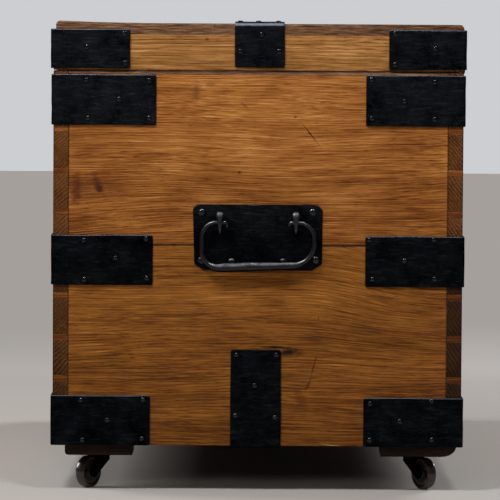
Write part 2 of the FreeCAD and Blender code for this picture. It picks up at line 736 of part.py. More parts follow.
def handle(side, angle):
    """Plate, eye posts and bail of one end."""
    plate = new_body(f"{side}_handle_plate")
    half = size.plate_length / 2
    low = plate_level - size.plate_height / 2
    high = plate_level + size.plate_height / 2
    outer = end_face + size.plate_thickness
    sheet = grow(plate, f"{side}_plate_sheet", "YZ_Plane", end_face, outer,
                 polygons=[rectangle(-half, half, low, high)])
    sheet = dress(plate, "Chamfer", f"{side}_plate_corners", sheet, size.plate_corner,
                  {"y": -half, "z": high}, {"y": half, "z": high})
    dress(plate, "Chamfer", f"{side}_plate_lower_corners", sheet, size.plate_lower_corner,
          {"y": -half, "z": low}, {"y": half, "z": low})
    post_hole = size.post_shank + size.post_clearance * 2
    carve(plate, f"{side}_plate_holes", "YZ_Plane", end_face - PAST, outer + PAST,
          circles=[(across, up, hole) for across, up in plate_nail_spots]
          + [(across, bail_level, post_hole) for across in (-post_side, post_side)])
    place(plate, angle=angle)

    posts = new_body(f"{side}_handle_posts")
    front = bail_line + size.bail_stub / 2 + size.bail_clearance + size.post_wall
    half_height = size.post_height / 2
    slant = size.post_nose / 2
    post_near = post_side - size.post_width / 2
    post_far = post_side + size.post_width / 2
    shoulder = front - size.post_wall
    post = grow(posts, f"{side}_post", "XZ_Plane", post_near, post_far, polygons=[[
        (outer, bail_level - half_height), (shoulder, bail_level - half_height),
        (front, bail_level - slant), (front, bail_level + slant),
        (shoulder, bail_level + half_height), (outer, bail_level + half_height)]])
    dress(posts, "Fillet", f"{side}_post_nose", post, size.post_round,
          {"x": front, "z": bail_level - slant}, {"x": front, "z": bail_level + slant})
    carve(posts, f"{side}_post_eye", "XZ_Plane", post_near - PAST, post_far + PAST,
          circles=[(bail_line, bail_level, size.bail_stub + size.bail_clearance * 2)])
    grow(posts, f"{side}_post_shank", "YZ_Plane", end_inside - size.washer_thickness, outer,
         circles=[(post_side, bail_level, size.post_shank)])
    grow(posts, f"{side}_post_rivet", "YZ_Plane", end_inside - size.washer_thickness - size.rivet_head,
         end_inside - size.washer_thickness, circles=[(post_side, bail_level, size.post_rivet)])
    mirror(posts, f"{side}_post_pair", "XZ_Plane")
    place(posts, angle=angle)

    bail = new_body(f"{side}_handle_bail")
    arm = size.bail_span / 2
    stub = post_near - size.stub_end
    spine = sketch_on(bail, f"{side}_bail_spine", "YZ_Plane")
    draw_bail_line(spine, arm, stub)
    ring = bail.newObject("Sketcher::SketchObject", f"{side}_bail_ring")
    ring.AttachmentSupport = (next(f for f in bail.Origin.OriginFeatures if f.Role == "XZ_Plane"), [""])
    ring.MapMode = "FlatFace"
    bind(ring, "AttachmentOffset.Base.z", -stub)
    draw_circle(ring, ZERO, ZERO, size.bail_stub)
    bar = bail.newObject("PartDesign::AdditivePipe", f"{side}_bail_bar")
    bar.Profile = ring
    bar.Spine = (spine, [])
    grip_end = arm - size.bail_corner
    grip = sketch_on(bail, f"{side}_grip_sketch", "YZ_Plane")
    draw_polygon(grip, [
        (-grip_end, -size.bail_drop), (grip_end, -size.bail_drop),
        (grip_end, -size.bail_drop + size.bail_stub / 2),
        (size.bail_swell, -size.bail_drop + size.bail_grip / 2),
        (-size.bail_swell, -size.bail_drop + size.bail_grip / 2),
        (-grip_end, -size.bail_drop + size.bail_stub / 2)])
    swollen = bail.newObject("PartDesign::Revolution", f"{side}_bail_grip")
    swollen.Profile = grip
    DOCUMENT.recompute()
    swollen.ReferenceAxis = (grip, ["Edge1"])
    swollen.Angle = 360
    place(bail, bail_line if angle == 0.0 else -bail_line, ZERO, bail_level, angle)
    finished(plate, posts, bail)


def draw_bail_line(sketch, arm, stub):
    """Middle line of the bail: stub, shoulder, arm, corner, grip and back up the other side."""
    shoulder = size.bail_shoulder
    corner = size.bail_corner
    drop = size.bail_drop
    half = [
        (stub, ZERO),
        (arm - shoulder, ZERO),
        (arm, -shoulder),
        (arm, -drop + corner),
        (arm - corner, -drop),
    ]
    route = half + [(-across, up) for across, up in reversed(half)]
    bends = {1: shoulder, 3: corner, 5: corner, 7: shoulder}
    for start in range(len(route) - 1):
        near, far = (FreeCAD.Vector(number(a), number(b), 0) for a, b in route[start:start + 2])
        if start in bends:
            # The middle of a quarter bend lies off its chord by r (1 - cos 45 deg), to the outside.
            chord = far - near
            outward = FreeCAD.Vector(-chord.y, chord.x, 0).normalize()
            bulge = outward * (number(bends[start]) * (1 - math.sqrt(0.5)))
            sketch.addGeometry(Part.Arc(near, (near + far) / 2 + bulge, far))
        else:
            sketch.addGeometry(Part.LineSegment(near, far))
    tie_point(sketch, 0, 1, *route[0])
    for start in range(len(route) - 1):
        straight = start not in bends
        first_end = 1 if straight else (2 if arc_runs_back(sketch, start, route[start]) else 1)
        last_end = 2 if straight else 3 - first_end
        if start > 0:
            sketch.addConstraint(Sketcher.Constraint("Coincident", start, first_end, start - 1, previous_end))
        tie_point(sketch, start, last_end, *route[start + 1])
        if not straight:
            added = sketch.addConstraint(Sketcher.Constraint("Radius", start, number(bends[start])))
            sketch.setExpression(f"Constraints[{added}]", text(bends[start]))
        previous_end = last_end


def arc_runs_back(sketch, geometry, start):
    """Whether an arc of a sketch, which always runs anticlockwise, ends at the start of its bend."""
    point = sketch.getPoint(geometry, 1)
    return abs(point.x - number(start[0])) + abs(point.y - number(start[1])) > NEAR


plate_across = size.plate_length / 2 - size.plate_nail_inset
plate_up = size.plate_height / 2 - size.plate_nail_inset
plate_nail_spots = [
    (-plate_across, plate_level + plate_up),
    (plate_across, plate_level + plate_up),
    (-plate_across, plate_level - plate_up),
    (plate_across, plate_level - plate_up),
    (-size.plate_nail_side, plate_level - plate_up),
    (size.plate_nail_side, plate_level - plate_up),
]
handle("right", 0.0)
handle("left", 180.0)

washers = new_body("handle_washers")
grow(washers, "washer", "YZ_Plane", end_inside - size.washer_thickness, end_inside,
     circles=[(post_side, bail_level, size.washer),
              (post_side, bail_level, size.post_shank + size.post_clearance * 2)])
mirror(washers, "washer_pair", "XZ_Plane")
mirror(washers, "washer_four", "YZ_Plane")
finished(washers)


# Casters

plates = new_body("caster_plates")
plate_half = size.caster_plate / 2
plate_low = caster_height - size.caster_plate_thickness
head_low = crown_low - size.running_gap - size.rivet_head
screw_side = plate_half - size.screw_inset
screw_spots = [(swivel_x + screw_side * a, swivel_y + screw_side * b) for a in LEFT_RIGHT for b in LEFT_RIGHT]
sheet = grow(plates, "caster_plate", "XY_Plane", plate_low, caster_height,
             polygons=[rectangle(swivel_x - plate_half, swivel_x + plate_half,
                                 swivel_y - plate_half, swivel_y + plate_half)])
carve(plates, "caster_plate_holes", "XY_Plane", plate_low - PAST, caster_height + PAST,
      circles=[(x, y, hole) for x, y in screw_spots])
grow(plates, "caster_kingpin", "XY_Plane", head_low, plate_low, circles=[(swivel_x, swivel_y, size.kingpin)])
grow(plates, "caster_kingpin_head", "XY_Plane", head_low, head_low + size.rivet_head,
     circles=[(swivel_x, swivel_y, size.kingpin_head)])
mirror(plates, "caster_plate_pair", "YZ_Plane")
mirror(plates, "caster_plate_four", "XZ_Plane")
finished(plates)

wheel_side = size.wheel_tread / 2
hub_side = wheel_side + size.running_gap
fork_inside = hub_side + size.running_gap
fork_outside = fork_inside + size.fork_cheek


def caster(corner, toward_x, toward_y, angle):
    """Fork, axle and wheel; the wheel trails behind the swivel axis."""
    fork = new_body(f"{corner}_caster_fork")
    boss = size.fork_boss / 2
    long_share, short_share = BOSS_EDGE
    grow(fork, f"{corner}_fork_cheeks", "XZ_Plane", -fork_outside, fork_outside, polygons=[[
        (-size.fork_heel, crown_high),
        (size.fork_heel, crown_high),
        (trail + boss * long_share, axle_level + boss * short_share),
        (trail - boss * short_share, axle_level - boss * long_share),
        (-size.fork_heel, crown_high - size.fork_heel),
    ]])
    fork_reach = trail + boss + PAST
    grow(fork, f"{corner}_fork_boss", "XZ_Plane", -fork_outside, fork_outside,
         circles=[(trail, axle_level, size.fork_boss)])
    carve(fork, f"{corner}_fork_gap", "XZ_Plane", -fork_inside, fork_inside,
          polygons=[rectangle(-size.fork_heel - PAST, fork_reach, ZERO, crown_low)])
    grow(fork, f"{corner}_fork_crown", "XY_Plane", crown_low, crown_high, circles=[(ZERO, ZERO, size.crown)])
    carve(fork, f"{corner}_fork_front_gap", "XY_Plane", crown_low - PAST, crown_high + PAST,
          polygons=[rectangle(size.crown / 2, fork_reach, -fork_inside, fork_inside)])
    carve(fork, f"{corner}_fork_pivot", "XY_Plane", crown_low - PAST, crown_high + PAST,
          circles=[(ZERO, ZERO, size.kingpin + size.shaft_gap * 2)])
    carve(fork, f"{corner}_fork_axle_hole", "XZ_Plane", -fork_outside - PAST, fork_outside + PAST,
          circles=[(trail, axle_level, size.axle + size.shaft_gap)])
    place(fork, swivel_x * toward_x, swivel_y * toward_y, angle=angle)

    axle_x = swivel_x * toward_x + trail * cosine(angle)
    axle_y = swivel_y * toward_y + trail * sine(angle)
    axle = new_body(f"{corner}_caster_axle")
    pin = size.axle / 2
    head = size.axle_head / 2
    tip = fork_outside + size.rivet_head
    turn(axle, f"{corner}_axle_pin", "XY_Plane", [
        (ZERO, -tip), (pin, -tip), (head, -fork_outside), (pin, -fork_outside),
        (pin, fork_outside), (head, fork_outside), (pin, tip), (ZERO, tip)])
    place(axle, axle_x, axle_y, axle_level, angle)

    wheel = new_body(f"{corner}_caster_wheel")
    bore = pin + size.shaft_gap
    hub = size.wheel_hub / 2
    rim = size.wheel_diameter / 2
    rim_inside = rim - size.wheel_rim
    web = size.wheel_web / 2
    round_over = size.wheel_round
    turn(wheel, f"{corner}_wheel_disc", "XY_Plane", [
        (bore, -hub_side), (hub, -hub_side), (hub, -web), (rim_inside, -web), (rim_inside, -wheel_side),
        (rim - round_over, -wheel_side), (rim, -wheel_side + round_over),
        (rim, wheel_side - round_over), (rim - round_over, wheel_side), (rim_inside, wheel_side),
        (rim_inside, web), (hub, web), (hub, hub_side), (bore, hub_side)])
    place(wheel, axle_x, axle_y, axle_level, angle)
    finished(fork, axle, wheel)


for corner, (toward_x, toward_y, _) in CORNERS.items():
    caster(corner, toward_x, toward_y, getattr(size, f"swivel_{corner}"))


# Hinges

knuckle_reach = size.hinge_width / 2
barrel_half = size.barrel / 2
barrel_clear = barrel_half + size.running_gap
pin_hole = size.hinge_pin + size.shaft_gap * 2
lid_knuckle = knuckle_reach - size.knuckle - size.running_gap
hinge_body_spots = [
    (size.nail_end, -strap_side),
    (size.nail_end, strap_side),
    (size.nail_end + size.nail_row, ZERO),
    (size.nail_end + size.nail_row * 2, -strap_side),
    (size.nail_end + size.nail_row * 2, strap_side),
]
hinge_lid_spots = [
    (size.nail_inset, -strap_side),
    (size.nail_inset, strap_side),
    (size.hinge_nail_drop, ZERO),
]
hinge_foot = hinge_level - size.hinge_leaf
hinge_head = lid_strap_low + size.lid_strap_height


def barrel_part(leaf, name, left, right):
    """One knuckle: a round barrel joined to the leaf on the wood's face."""
    grow(leaf, f"{name}_round", "YZ_Plane", left, right, circles=[(hinge_line, hinge_level, size.barrel)])


def hinge(side, toward):
    middle = hinge_middle * toward
    outer = side_face + size.strap_thickness
    body_leaf = new_body(f"{side}_hinge_body_leaf")
    grow(body_leaf, f"{side}_body_leaf_plate", "XZ_Plane", side_face, outer, polygons=[
        rectangle(middle - knuckle_reach, middle + knuckle_reach, hinge_foot, hinge_level - barrel_clear)])
    for end, (left, right) in {"a": (-knuckle_reach, -knuckle_reach + size.knuckle),
                               "b": (knuckle_reach - size.knuckle, knuckle_reach)}.items():
        grow(body_leaf, f"{side}_body_tab_{end}", "YZ_Plane", middle + left, middle + right,
             polygons=[rectangle(side_face, outer, hinge_level - barrel_clear, hinge_level)])
        barrel_part(body_leaf, f"{side}_body_knuckle_{end}", middle + left, middle + right)
    carve(body_leaf, f"{side}_body_leaf_bore", "YZ_Plane", middle - knuckle_reach - PAST,
          middle + knuckle_reach + PAST, circles=[(hinge_line, hinge_level, pin_hole)])
    carve(body_leaf, f"{side}_body_leaf_holes", "XZ_Plane", side_face - PAST, outer + PAST,
          circles=[(middle + across, hinge_foot + along, hole) for along, across in hinge_body_spots])

    lid_leaf = new_body(f"{side}_hinge_lid_leaf")
    grow(lid_leaf, f"{side}_lid_leaf_plate", "XZ_Plane", side_face, outer, polygons=[
        rectangle(middle - knuckle_reach, middle + knuckle_reach, hinge_level + barrel_clear, hinge_head)])
    grow(lid_leaf, f"{side}_lid_tab", "YZ_Plane", middle - lid_knuckle, middle + lid_knuckle,
         polygons=[rectangle(side_face, outer, hinge_level, hinge_level + barrel_clear)])
    barrel_part(lid_leaf, f"{side}_lid_knuckle", middle - lid_knuckle, middle + lid_knuckle)
    carve(lid_leaf, f"{side}_lid_leaf_bore", "YZ_Plane", middle - knuckle_reach, middle + knuckle_reach,
          circles=[(hinge_line, hinge_level, pin_hole)])
    carve(lid_leaf, f"{side}_lid_leaf_holes", "XZ_Plane", side_face - PAST, outer + PAST,
          circles=[(middle + across, hinge_head - along, hole) for along, across in hinge_lid_spots])
    finished(body_leaf, lid_leaf)


hinge("right", 1)
hinge("left", -1)

pins = new_body("hinge_pins")
grow(pins, "hinge_pin", "YZ_Plane", hinge_middle - knuckle_reach, hinge_middle + knuckle_reach,
     circles=[(hinge_line, hinge_level, size.hinge_pin)])
for end, reach in (("a", -knuckle_reach - size.rivet_head), ("b", knuckle_reach)):
    head_start = hinge_middle + reach
    grow(pins, f"hinge_pin_head_{end}", "YZ_Plane", head_start, head_start + size.rivet_head,
         circles=[(hinge_line, hinge_level, size.hinge_pin_head)])
mirror(pins, "hinge_pin_pair", "YZ_Plane")
finished(pins)


# Lock: the key works the bolt through a notch, and the bolt slides into the lid's link staple.

lock_half = size.lock_length / 2
lock_out = side_inside + size.lock_depth
lock_low = body_high - size.lock_height
link_x = -size.link_offset
link_half = size.link_width / 2
bolt_start = link_x + size.link_thickness / 2 + size.bolt_rest_gap
bolt_under = bolt_level - size.bolt_height / 2
key_slot = size.keyhole_slot / 2


def keyhole_cut(owner, name, low, high):
    """Round hole for the key's stem over a slot for its bit."""
    carve(owner, f"{name}_round", "XZ_Plane", low, high, circles=[(ZERO, key_level, size.keyhole)])
    carve(owner, f"{name}_slot", "XZ_Plane", low, high,
          polygons=[rectangle(-key_slot, key_slot, key_level - size.keyhole_drop, key_level)])


mortise = lock_half + size.lock_clearance
carve(front_upper_board, "lock_mortise", "XZ_Plane", -lock_out - size.lock_clearance, -side_inside + PAST,
      polygons=[rectangle(-mortise, mortise, lock_low - size.lock_clearance, body_high + PAST)])
keyhole_cut(front_upper_board, "board_keyhole", -side_face - PAST, -lock_out)

case = new_body("lock_case")
wall = size.lock_wall
grow(case, "case_box", "XZ_Plane", -lock_out, -side_inside,
     polygons=[rectangle(-lock_half, lock_half, lock_low, body_high)])
rests = [(bolt_start, -size.key_clear), (size.key_clear, size.key_clear + size.rest_length)]
rest_high = bolt_under - size.running_gap
rest_low = rest_high - size.rest_height
case_low = lock_low + wall
case_high = body_high - wall
carve(case, "case_hollow", "XZ_Plane", -lock_out + wall, -side_inside - wall,
      polygons=[rectangle(-lock_half + wall, lock_half - wall, case_low, case_high)])
for index, (left, right) in enumerate(rests):
    grow(case, f"case_rest_{index}", "XZ_Plane", -lock_out + wall, -side_inside - wall,
         polygons=[rectangle(left, right, rest_low, rest_high)])
link_gap = size.link_clearance
carve(case, "case_link_slot", "XY_Plane", case_high - PAST, body_high + PAST, polygons=[rectangle(
    link_x - size.link_thickness / 2 - link_gap, link_x + size.link_thickness / 2 + link_gap,
    -lock_line - link_half - link_gap, -lock_line + link_half + link_gap)])
keyhole_cut(case, "case_keyhole", -lock_out - PAST, -lock_out + wall + PAST)
finished(case)

bolt = new_body("lock_bolt")
bolt_end = bolt_start + size.bolt_length
bolt_half = size.bolt_thickness / 2
talon_middle = size.bolt_travel / 2  # the key's bit carries the notch from here to as far past the keyhole
grow(bolt, "bolt_bar", "XZ_Plane", -lock_line - bolt_half, -lock_line + bolt_half,
     polygons=[rectangle(bolt_start, bolt_end, bolt_under, bolt_level + size.bolt_height / 2)])
carve(bolt, "bolt_talon", "XZ_Plane", -lock_line - bolt_half - PAST, -lock_line + bolt_half + PAST,
      polygons=[rectangle(talon_middle - size.talon / 2, talon_middle + size.talon / 2,
                          bolt_under - PAST, bolt_level)])
finished(bolt)

link = new_body("link_plate")
link_plate_half = size.link_plate_length / 2
link_low = bolt_under - link_gap - size.link_wall
grow(link, "link_sheet", "XY_Plane", lid_low, lid_low + size.link_plate_thickness,
     polygons=[rectangle(link_x - link_plate_half, link_x + link_plate_half,
                         -lock_line - link_half, -lock_line + link_half)])
grow(link, "link_staple", "YZ_Plane", link_x - size.link_thickness / 2, link_x + size.link_thickness / 2,
     polygons=[rectangle(-lock_line - link_half, -lock_line + link_half, link_low, lid_low)])
carve(link, "link_window", "YZ_Plane", link_x - size.link_thickness, link_x + size.link_thickness,
      polygons=[rectangle(-lock_line - bolt_half - link_gap, -lock_line + bolt_half + link_gap,
                          bolt_under - link_gap, bolt_level + size.bolt_height / 2 + link_gap)])
finished(link)
recess_along = link_plate_half + size.glue_line
recess_across = link_half + size.glue_line
carve(lid_front_rail, "link_recess", "XY_Plane", lid_low - PAST,
      lid_low + size.link_plate_thickness + size.glue_line,
      polygons=[rectangle(link_x - recess_along, link_x + recess_along,
                          -lock_line - recess_across, -lock_line + recess_across)])

escutcheon = new_body("keyhole_escutcheon")
shield_front = -side_face - size.escutcheon_thickness
shield_half = size.escutcheon_width / 2
shield_level = key_level + (size.keyhole / 2 - size.keyhole_drop) / 2  # middle of the whole keyhole
shield_low = shield_level - size.escutcheon_height / 2
shield_high = shield_level + size.escutcheon_height / 2
shield = grow(escutcheon, "escutcheon_sheet", "XZ_Plane", shield_front, -side_face,
              polygons=[rectangle(-shield_half, shield_half, shield_low, shield_high)])
dress(escutcheon, "Chamfer", "escutcheon_corners", shield, size.escutcheon_corner,
      {"x": -shield_half, "z": shield_low}, {"x": -shield_half, "z": shield_high},
      {"x": shield_half, "z": shield_low}, {"x": shield_half, "z": shield_high})
shield_across = shield_half - size.escutcheon_pin_inset
shield_up = size.escutcheon_height / 2 - size.escutcheon_pin_inset
shield_spots = [(shield_across * a, shield_level + shield_up * b) for a in LEFT_RIGHT for b in LEFT_RIGHT]
shield_hole = size.escutcheon_pin + size.shaft_gap * 2
carve(escutcheon, "escutcheon_holes", "XZ_Plane", shield_front - PAST, -side_face + PAST,
      circles=[(x, z, shield_hole) for x, z in shield_spots])
keyhole_cut(escutcheon, "escutcheon_keyhole", shield_front - PAST, -side_face + PAST)
finished(escutcheon)


# Nails and screws: a copy of one turned fastener for each hole

def fastener(name, head, dome, shank, length):
    """Domed head over a shank with a point as long as it is thick; the head's underside is at zero."""
    nail = new_body(name)
    point = shank
    crown = [(head / 2 * across, dome * up) for across, up in DOME_PROFILE]
    turn(nail, f"{name}_turned", "XZ_Plane", [
        (ZERO, -length), (shank / 2, -length + point), (shank / 2, ZERO), *crown, (ZERO, dome)])
    return nail


nail = fastener("nail_pattern", size.nail_head, size.nail_dome, size.nail_shank, size.nail_length)
screw = fastener("screw_pattern", size.screw_head, size.screw_dome, size.nail_shank, size.screw_length)
small_pin = fastener("small_pin_pattern", size.escutcheon_pin_head, size.escutcheon_pin_dome,
                     size.escutcheon_pin, size.escutcheon_thickness + size.escutcheon_pin_grip)
on_end = end_face + size.strap_thickness
on_side = side_face + size.strap_thickness

body_spots = []
for toward_x, toward_y, _ in CORNERS.values():
    for row in range(STRAP_ROWS):
        level = strap_middle + strap_pitch * row
        for along, across in strap_spots:
            up = level + across
            body_spots.append((on_end * toward_x, (side_face - along) * toward_y, up, (toward_x, 0, 0)))
            body_spots.append(((end_face - along) * toward_x, on_side * toward_y, up, (0, toward_y, 0)))
for toward in LEFT_RIGHT:
    for along, across in centre_spots:
        body_spots.append((on_end * toward, across, centre_high - along, (toward, 0, 0)))
        body_spots.append(((end_face - centre_under + along) * toward, across,
                           body_low - size.strap_thickness, (0, 0, -1)))
    for along, across in hinge_body_spots:
        body_spots.append((hinge_middle * toward + across, on_side, hinge_foot + along, (0, 1, 0)))
finished(scatter("body_nails", nail, body_spots))

lid_spots = []
for toward_x, toward_y, _ in CORNERS.values():
    for along, across in lid_strap_spots:
        level = lid_strap_middle + across
        lid_spots.append((on_end * toward_x, (side_face - along) * toward_y, level, (toward_x, 0, 0)))
        lid_spots.append(((end_face - along) * toward_x, on_side * toward_y, level, (0, toward_y, 0)))
for toward in LEFT_RIGHT:
    for along, across in lid_centre_end_spots:
        lid_spots.append((on_end * toward, across, lid_centre_low + along, (toward, 0, 0)))
    for along, across in centre_spots:
        lid_spots.append(((end_face - size.strap_leg + along) * toward, across,
                          lid_high + size.strap_thickness, (0, 0, 1)))
    for along, across in hinge_lid_spots:
        lid_spots.append((hinge_middle * toward + across, on_side, hinge_head - along, (0, 1, 0)))
finished(scatter("lid_nails", nail, lid_spots))

on_plate = end_face + size.plate_thickness
finished(scatter("handle_nails", nail, [
    (on_plate * toward, across, up, (toward, 0, 0))
    for toward in LEFT_RIGHT for across, up in plate_nail_spots]))
finished(scatter("escutcheon_pins", small_pin, [
    (x, shield_front, z, (0, -1, 0)) for x, z in shield_spots]))
finished(scatter("caster_screws", screw, [
    (x * a, y * b, plate_low, (0, 0, -1)) for a in LEFT_RIGHT for b in LEFT_RIGHT for x, y in screw_spots]))


# Checks, and one STEP file for each node

DOCUMENT.recompute()
for item in DOCUMENT.Objects:
    if "Invalid" in item.State or "Error" in item.State:
        raise RuntimeError(f"{item.Name} could not be made: {item.State}")
    if item.TypeId == "PartDesign::Pocket" and item.Shape.Volume >= item.BaseFeature.Shape.Volume - NEAR:
        raise RuntimeError(f"{item.Name} cuts nothing")

os.makedirs("parts", exist_ok=True)
for node in NODES:
    if node.Shape.isNull() or not node.Shape.isValid():
        raise RuntimeError(f"{node.Label} has no valid shape")
    if not node.Shape.Solids:
        raise RuntimeError(f"{node.Label} has no solid")
for node in NODES:
    node.Shape.exportStep(os.path.join("parts", f"{node.Label}.step"))
print(f"{len(NODES)} nodes")
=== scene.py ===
"""Looks of a lidded oak chest, bound with black iron straps and standing on four casters.

Lengths are millimetres in the row frame until a mesh is made: +X runs along the chest, -Y is its
front, +Y carries the hinges, +Z is up and the floor is at zero.
"""
import json
import math
from functools import partial

import bmesh
import bpy
import numpy as np
from mathutils import Matrix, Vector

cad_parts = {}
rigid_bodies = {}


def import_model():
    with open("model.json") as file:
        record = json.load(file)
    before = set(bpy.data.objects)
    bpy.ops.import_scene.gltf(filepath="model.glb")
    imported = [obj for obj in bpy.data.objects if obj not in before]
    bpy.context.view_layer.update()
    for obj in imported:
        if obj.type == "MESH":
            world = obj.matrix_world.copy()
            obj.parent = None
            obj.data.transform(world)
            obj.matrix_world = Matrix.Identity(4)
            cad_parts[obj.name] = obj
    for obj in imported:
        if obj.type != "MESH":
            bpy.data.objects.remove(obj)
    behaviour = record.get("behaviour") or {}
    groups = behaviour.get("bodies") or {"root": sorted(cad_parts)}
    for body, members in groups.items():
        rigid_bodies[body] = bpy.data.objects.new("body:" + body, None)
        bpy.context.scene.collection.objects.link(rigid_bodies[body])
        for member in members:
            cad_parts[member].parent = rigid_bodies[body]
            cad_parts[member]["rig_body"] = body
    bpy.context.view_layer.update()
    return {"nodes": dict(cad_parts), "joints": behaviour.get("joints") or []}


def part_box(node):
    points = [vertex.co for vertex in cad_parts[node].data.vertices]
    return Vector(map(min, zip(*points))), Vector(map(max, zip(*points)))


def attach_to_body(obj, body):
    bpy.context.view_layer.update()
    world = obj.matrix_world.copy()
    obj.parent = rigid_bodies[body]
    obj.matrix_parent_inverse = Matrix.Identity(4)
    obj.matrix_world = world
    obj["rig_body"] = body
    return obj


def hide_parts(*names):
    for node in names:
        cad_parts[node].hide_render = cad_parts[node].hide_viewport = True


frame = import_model()

MM = 0.001
TAU = 2 * math.pi

X, Y, Z = range(3)


def edge_of(node, end, axis):
    """Where a CAD node begins (end 0) or stops (end 1) along an axis, in mm to the tenth."""
    return round(float(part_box(node)[end][axis]) / MM, 1)


# Faces and levels of the chest
END_FACE = edge_of("right_end_upper_board", 1, X)
SIDE_FACE = edge_of("back_upper_board", 1, Y)
BODY_LOW = edge_of("right_end_lower_board", 0, Z)
END_SEAM_LEVEL = edge_of("right_end_lower_board", 1, Z)
LID_LOW = edge_of("lid_right_rail", 0, Z)
LID_BOARDS_LOW = edge_of("lid_front_board", 0, Z)
LID_HIGH = edge_of("lid_front_board", 1, Z)
BOARD = 18.0                    # thickness of the boards
# Ironwork
STRAP_LOW = edge_of("front_right_corner_straps", 0, Z)
STRAP_WIDTH = 59.0
STRAP_PITCH = 188.45
STRAP_LEG = END_FACE - edge_of("front_right_corner_straps", 0, X)
LID_STRAP_LOW = edge_of("lid_corner_straps", 0, Z)
LID_STRAP_HEIGHT = 47.0
LID_STRAP_LEG = 92.5
CENTRE_HIGH = edge_of("bottom_centre_straps", 1, Z)
LID_CENTRE_LOW = edge_of("lid_centre_straps", 0, Z)
IRON = 2.4                      # thickness of the strap iron
LID_IRON = 3.3                  # the lid's corner straps are a heavier bar
HINGE_IRON = 2.6
HINGE_MIDDLE = 250.0
HINGE_FOOT = edge_of("left_hinge_body_leaf", 0, Z)
HINGE_HEAD = edge_of("left_hinge_lid_leaf", 1, Z)
PLATE_IRON = 2.2
BAIL_LINE = 461.0
BAIL_LEVEL = 319.0
POST_SIDE = 44.7
# Blocks under the corners
BLOCK_LOW = 40.4
BLOCK_ROUND = 4.5
BLOCK_HALF = 40.0
BLOCK_MIDDLE_X = 396.0
BLOCK_MIDDLE_Y = 187.5

CORNERS = {"front_right": (1, -1), "back_right": (1, 1), "back_left": (-1, 1), "front_left": (-1, -1)}
LEFT_RIGHT = (-1, 1)


# Surfaces: points in mm as an array, and faces as lists of point numbers

def ring_faces(rows, around, rows_close=False):
    """Quads of a grid whose columns close on themselves: each joins a point, its neighbour in the row,
    and the same two in the next row."""
    row = np.arange(rows if rows_close else rows - 1)[:, None] * around
    step = np.arange(around)[None, :]
    beside = (step + 1) % around
    above = (row + around) % (rows * around)
    return np.stack([row + step, row + beside, above + beside, above + step], -1).reshape(-1, 4).tolist()


def capped(points, rows, around):
    """A grid of closed rows with a flat face over its first and last row."""
    first = list(range(around))
    last = list(range((rows - 1) * around, rows * around))
    return points.reshape(-1, 3), ring_faces(rows, around) + [first[::-1], last]


def joined(surfaces):
    """Several surfaces as one: the points follow each other and the faces count on."""
    points, faces, count = [], [], 0
    for part, part_faces in surfaces:
        points.append(part)
        faces += [[number + count for number in face] for face in part_faces]
        count += len(part)
    return np.concatenate(points), faces


def make(name, surface, material, body, slot, *stands_for, sharp=40.0):
    """One object from a closed surface, its faces turned outwards, riding on a body."""
    points, faces = surface
    mesh = bpy.data.meshes.new(name)
    mesh.from_pydata((points * MM).tolist(), [], faces)
    work = bmesh.new()
    work.from_mesh(mesh)
    bmesh.ops.remove_doubles(work, verts=work.verts, dist=1e-7)
    bmesh.ops.recalc_face_normals(work, faces=work.faces)
    work.to_mesh(mesh)
    work.free()
    mesh.shade_smooth()
    mesh.set_sharp_from_angle(angle=math.radians(sharp))
    return attach(name, mesh, material, body, stands_for)


def in_scene(name, data):
    """A new object of the scene that shows a mesh, lamp or camera."""
    thing = bpy.data.objects.new(name, data)
    bpy.context.scene.collection.objects.link(thing)
    return thing


def attach(name, mesh, material, body, stands_for):
    """Link a mesh as an object that rides on a body and stands for CAD nodes."""
    mesh.materials.clear()
    mesh.materials.append(material)
    thing = in_scene(name, mesh)
    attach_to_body(thing, body)
    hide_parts(*stands_for)
    return thing


def eased(node, material, width, steps=2, angle=35.0):
    """A copy of a CAD node with its flat faces joined and its edges worn round by a bevel."""
    source = frame["nodes"][node]
    mesh = source.data.copy()
    work = bmesh.new()
    work.from_mesh(mesh)
    bmesh.ops.remove_doubles(work, verts=work.verts, dist=1e-6)
    bmesh.ops.dissolve_limit(work, angle_limit=math.radians(1.0), verts=work.verts, edges=work.edges)
    work.to_mesh(mesh)
    work.free()
    mesh.shade_smooth()
    thing = attach(f"{node}_worn", mesh, material, source["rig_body"], (node,))
    bevel = thing.modifiers.new("worn_edges", "BEVEL")
    bevel.width = width * MM
    bevel.segments = steps
    bevel.limit_method = "ANGLE"
    bevel.angle_limit = math.radians(angle)
    bevel.harden_normals = True
    bevel.use_clamp_overlap = True
    return thing


def circle(count):
    """So many angles, evenly round a circle."""
    return np.linspace(0, TAU, count, endpoint=False)


def lengths_along(points):
    """How far along a line of points each of them lies."""
    return np.concatenate([[0], np.cumsum(np.linalg.norm(np.diff(points, axis=0), axis=1))])


def walk(line, at):
    """Points of a plane line at the given lengths along it."""
    walked = lengths_along(line)
    return np.stack([np.interp(at, walked, line[:, 0]), np.interp(at, walked, line[:, 1])], -1)


def dents(across, along, seed, depth, length):
    """Soft hammer relief: the mean of nine waves in random directions, their lengths between the
    given one and three times it."""
    rng = np.random.default_rng(seed)
    turn = rng.uniform(0, TAU, 9)
    reach = rng.uniform(1.0, 3.0, 9) * length
    start = rng.uniform(0, TAU, 9)
    wave = (across[..., None] * np.cos(turn) + along[..., None] * np.sin(turn)) * TAU / reach + start
    return depth * np.sin(wave).mean(-1) * 3


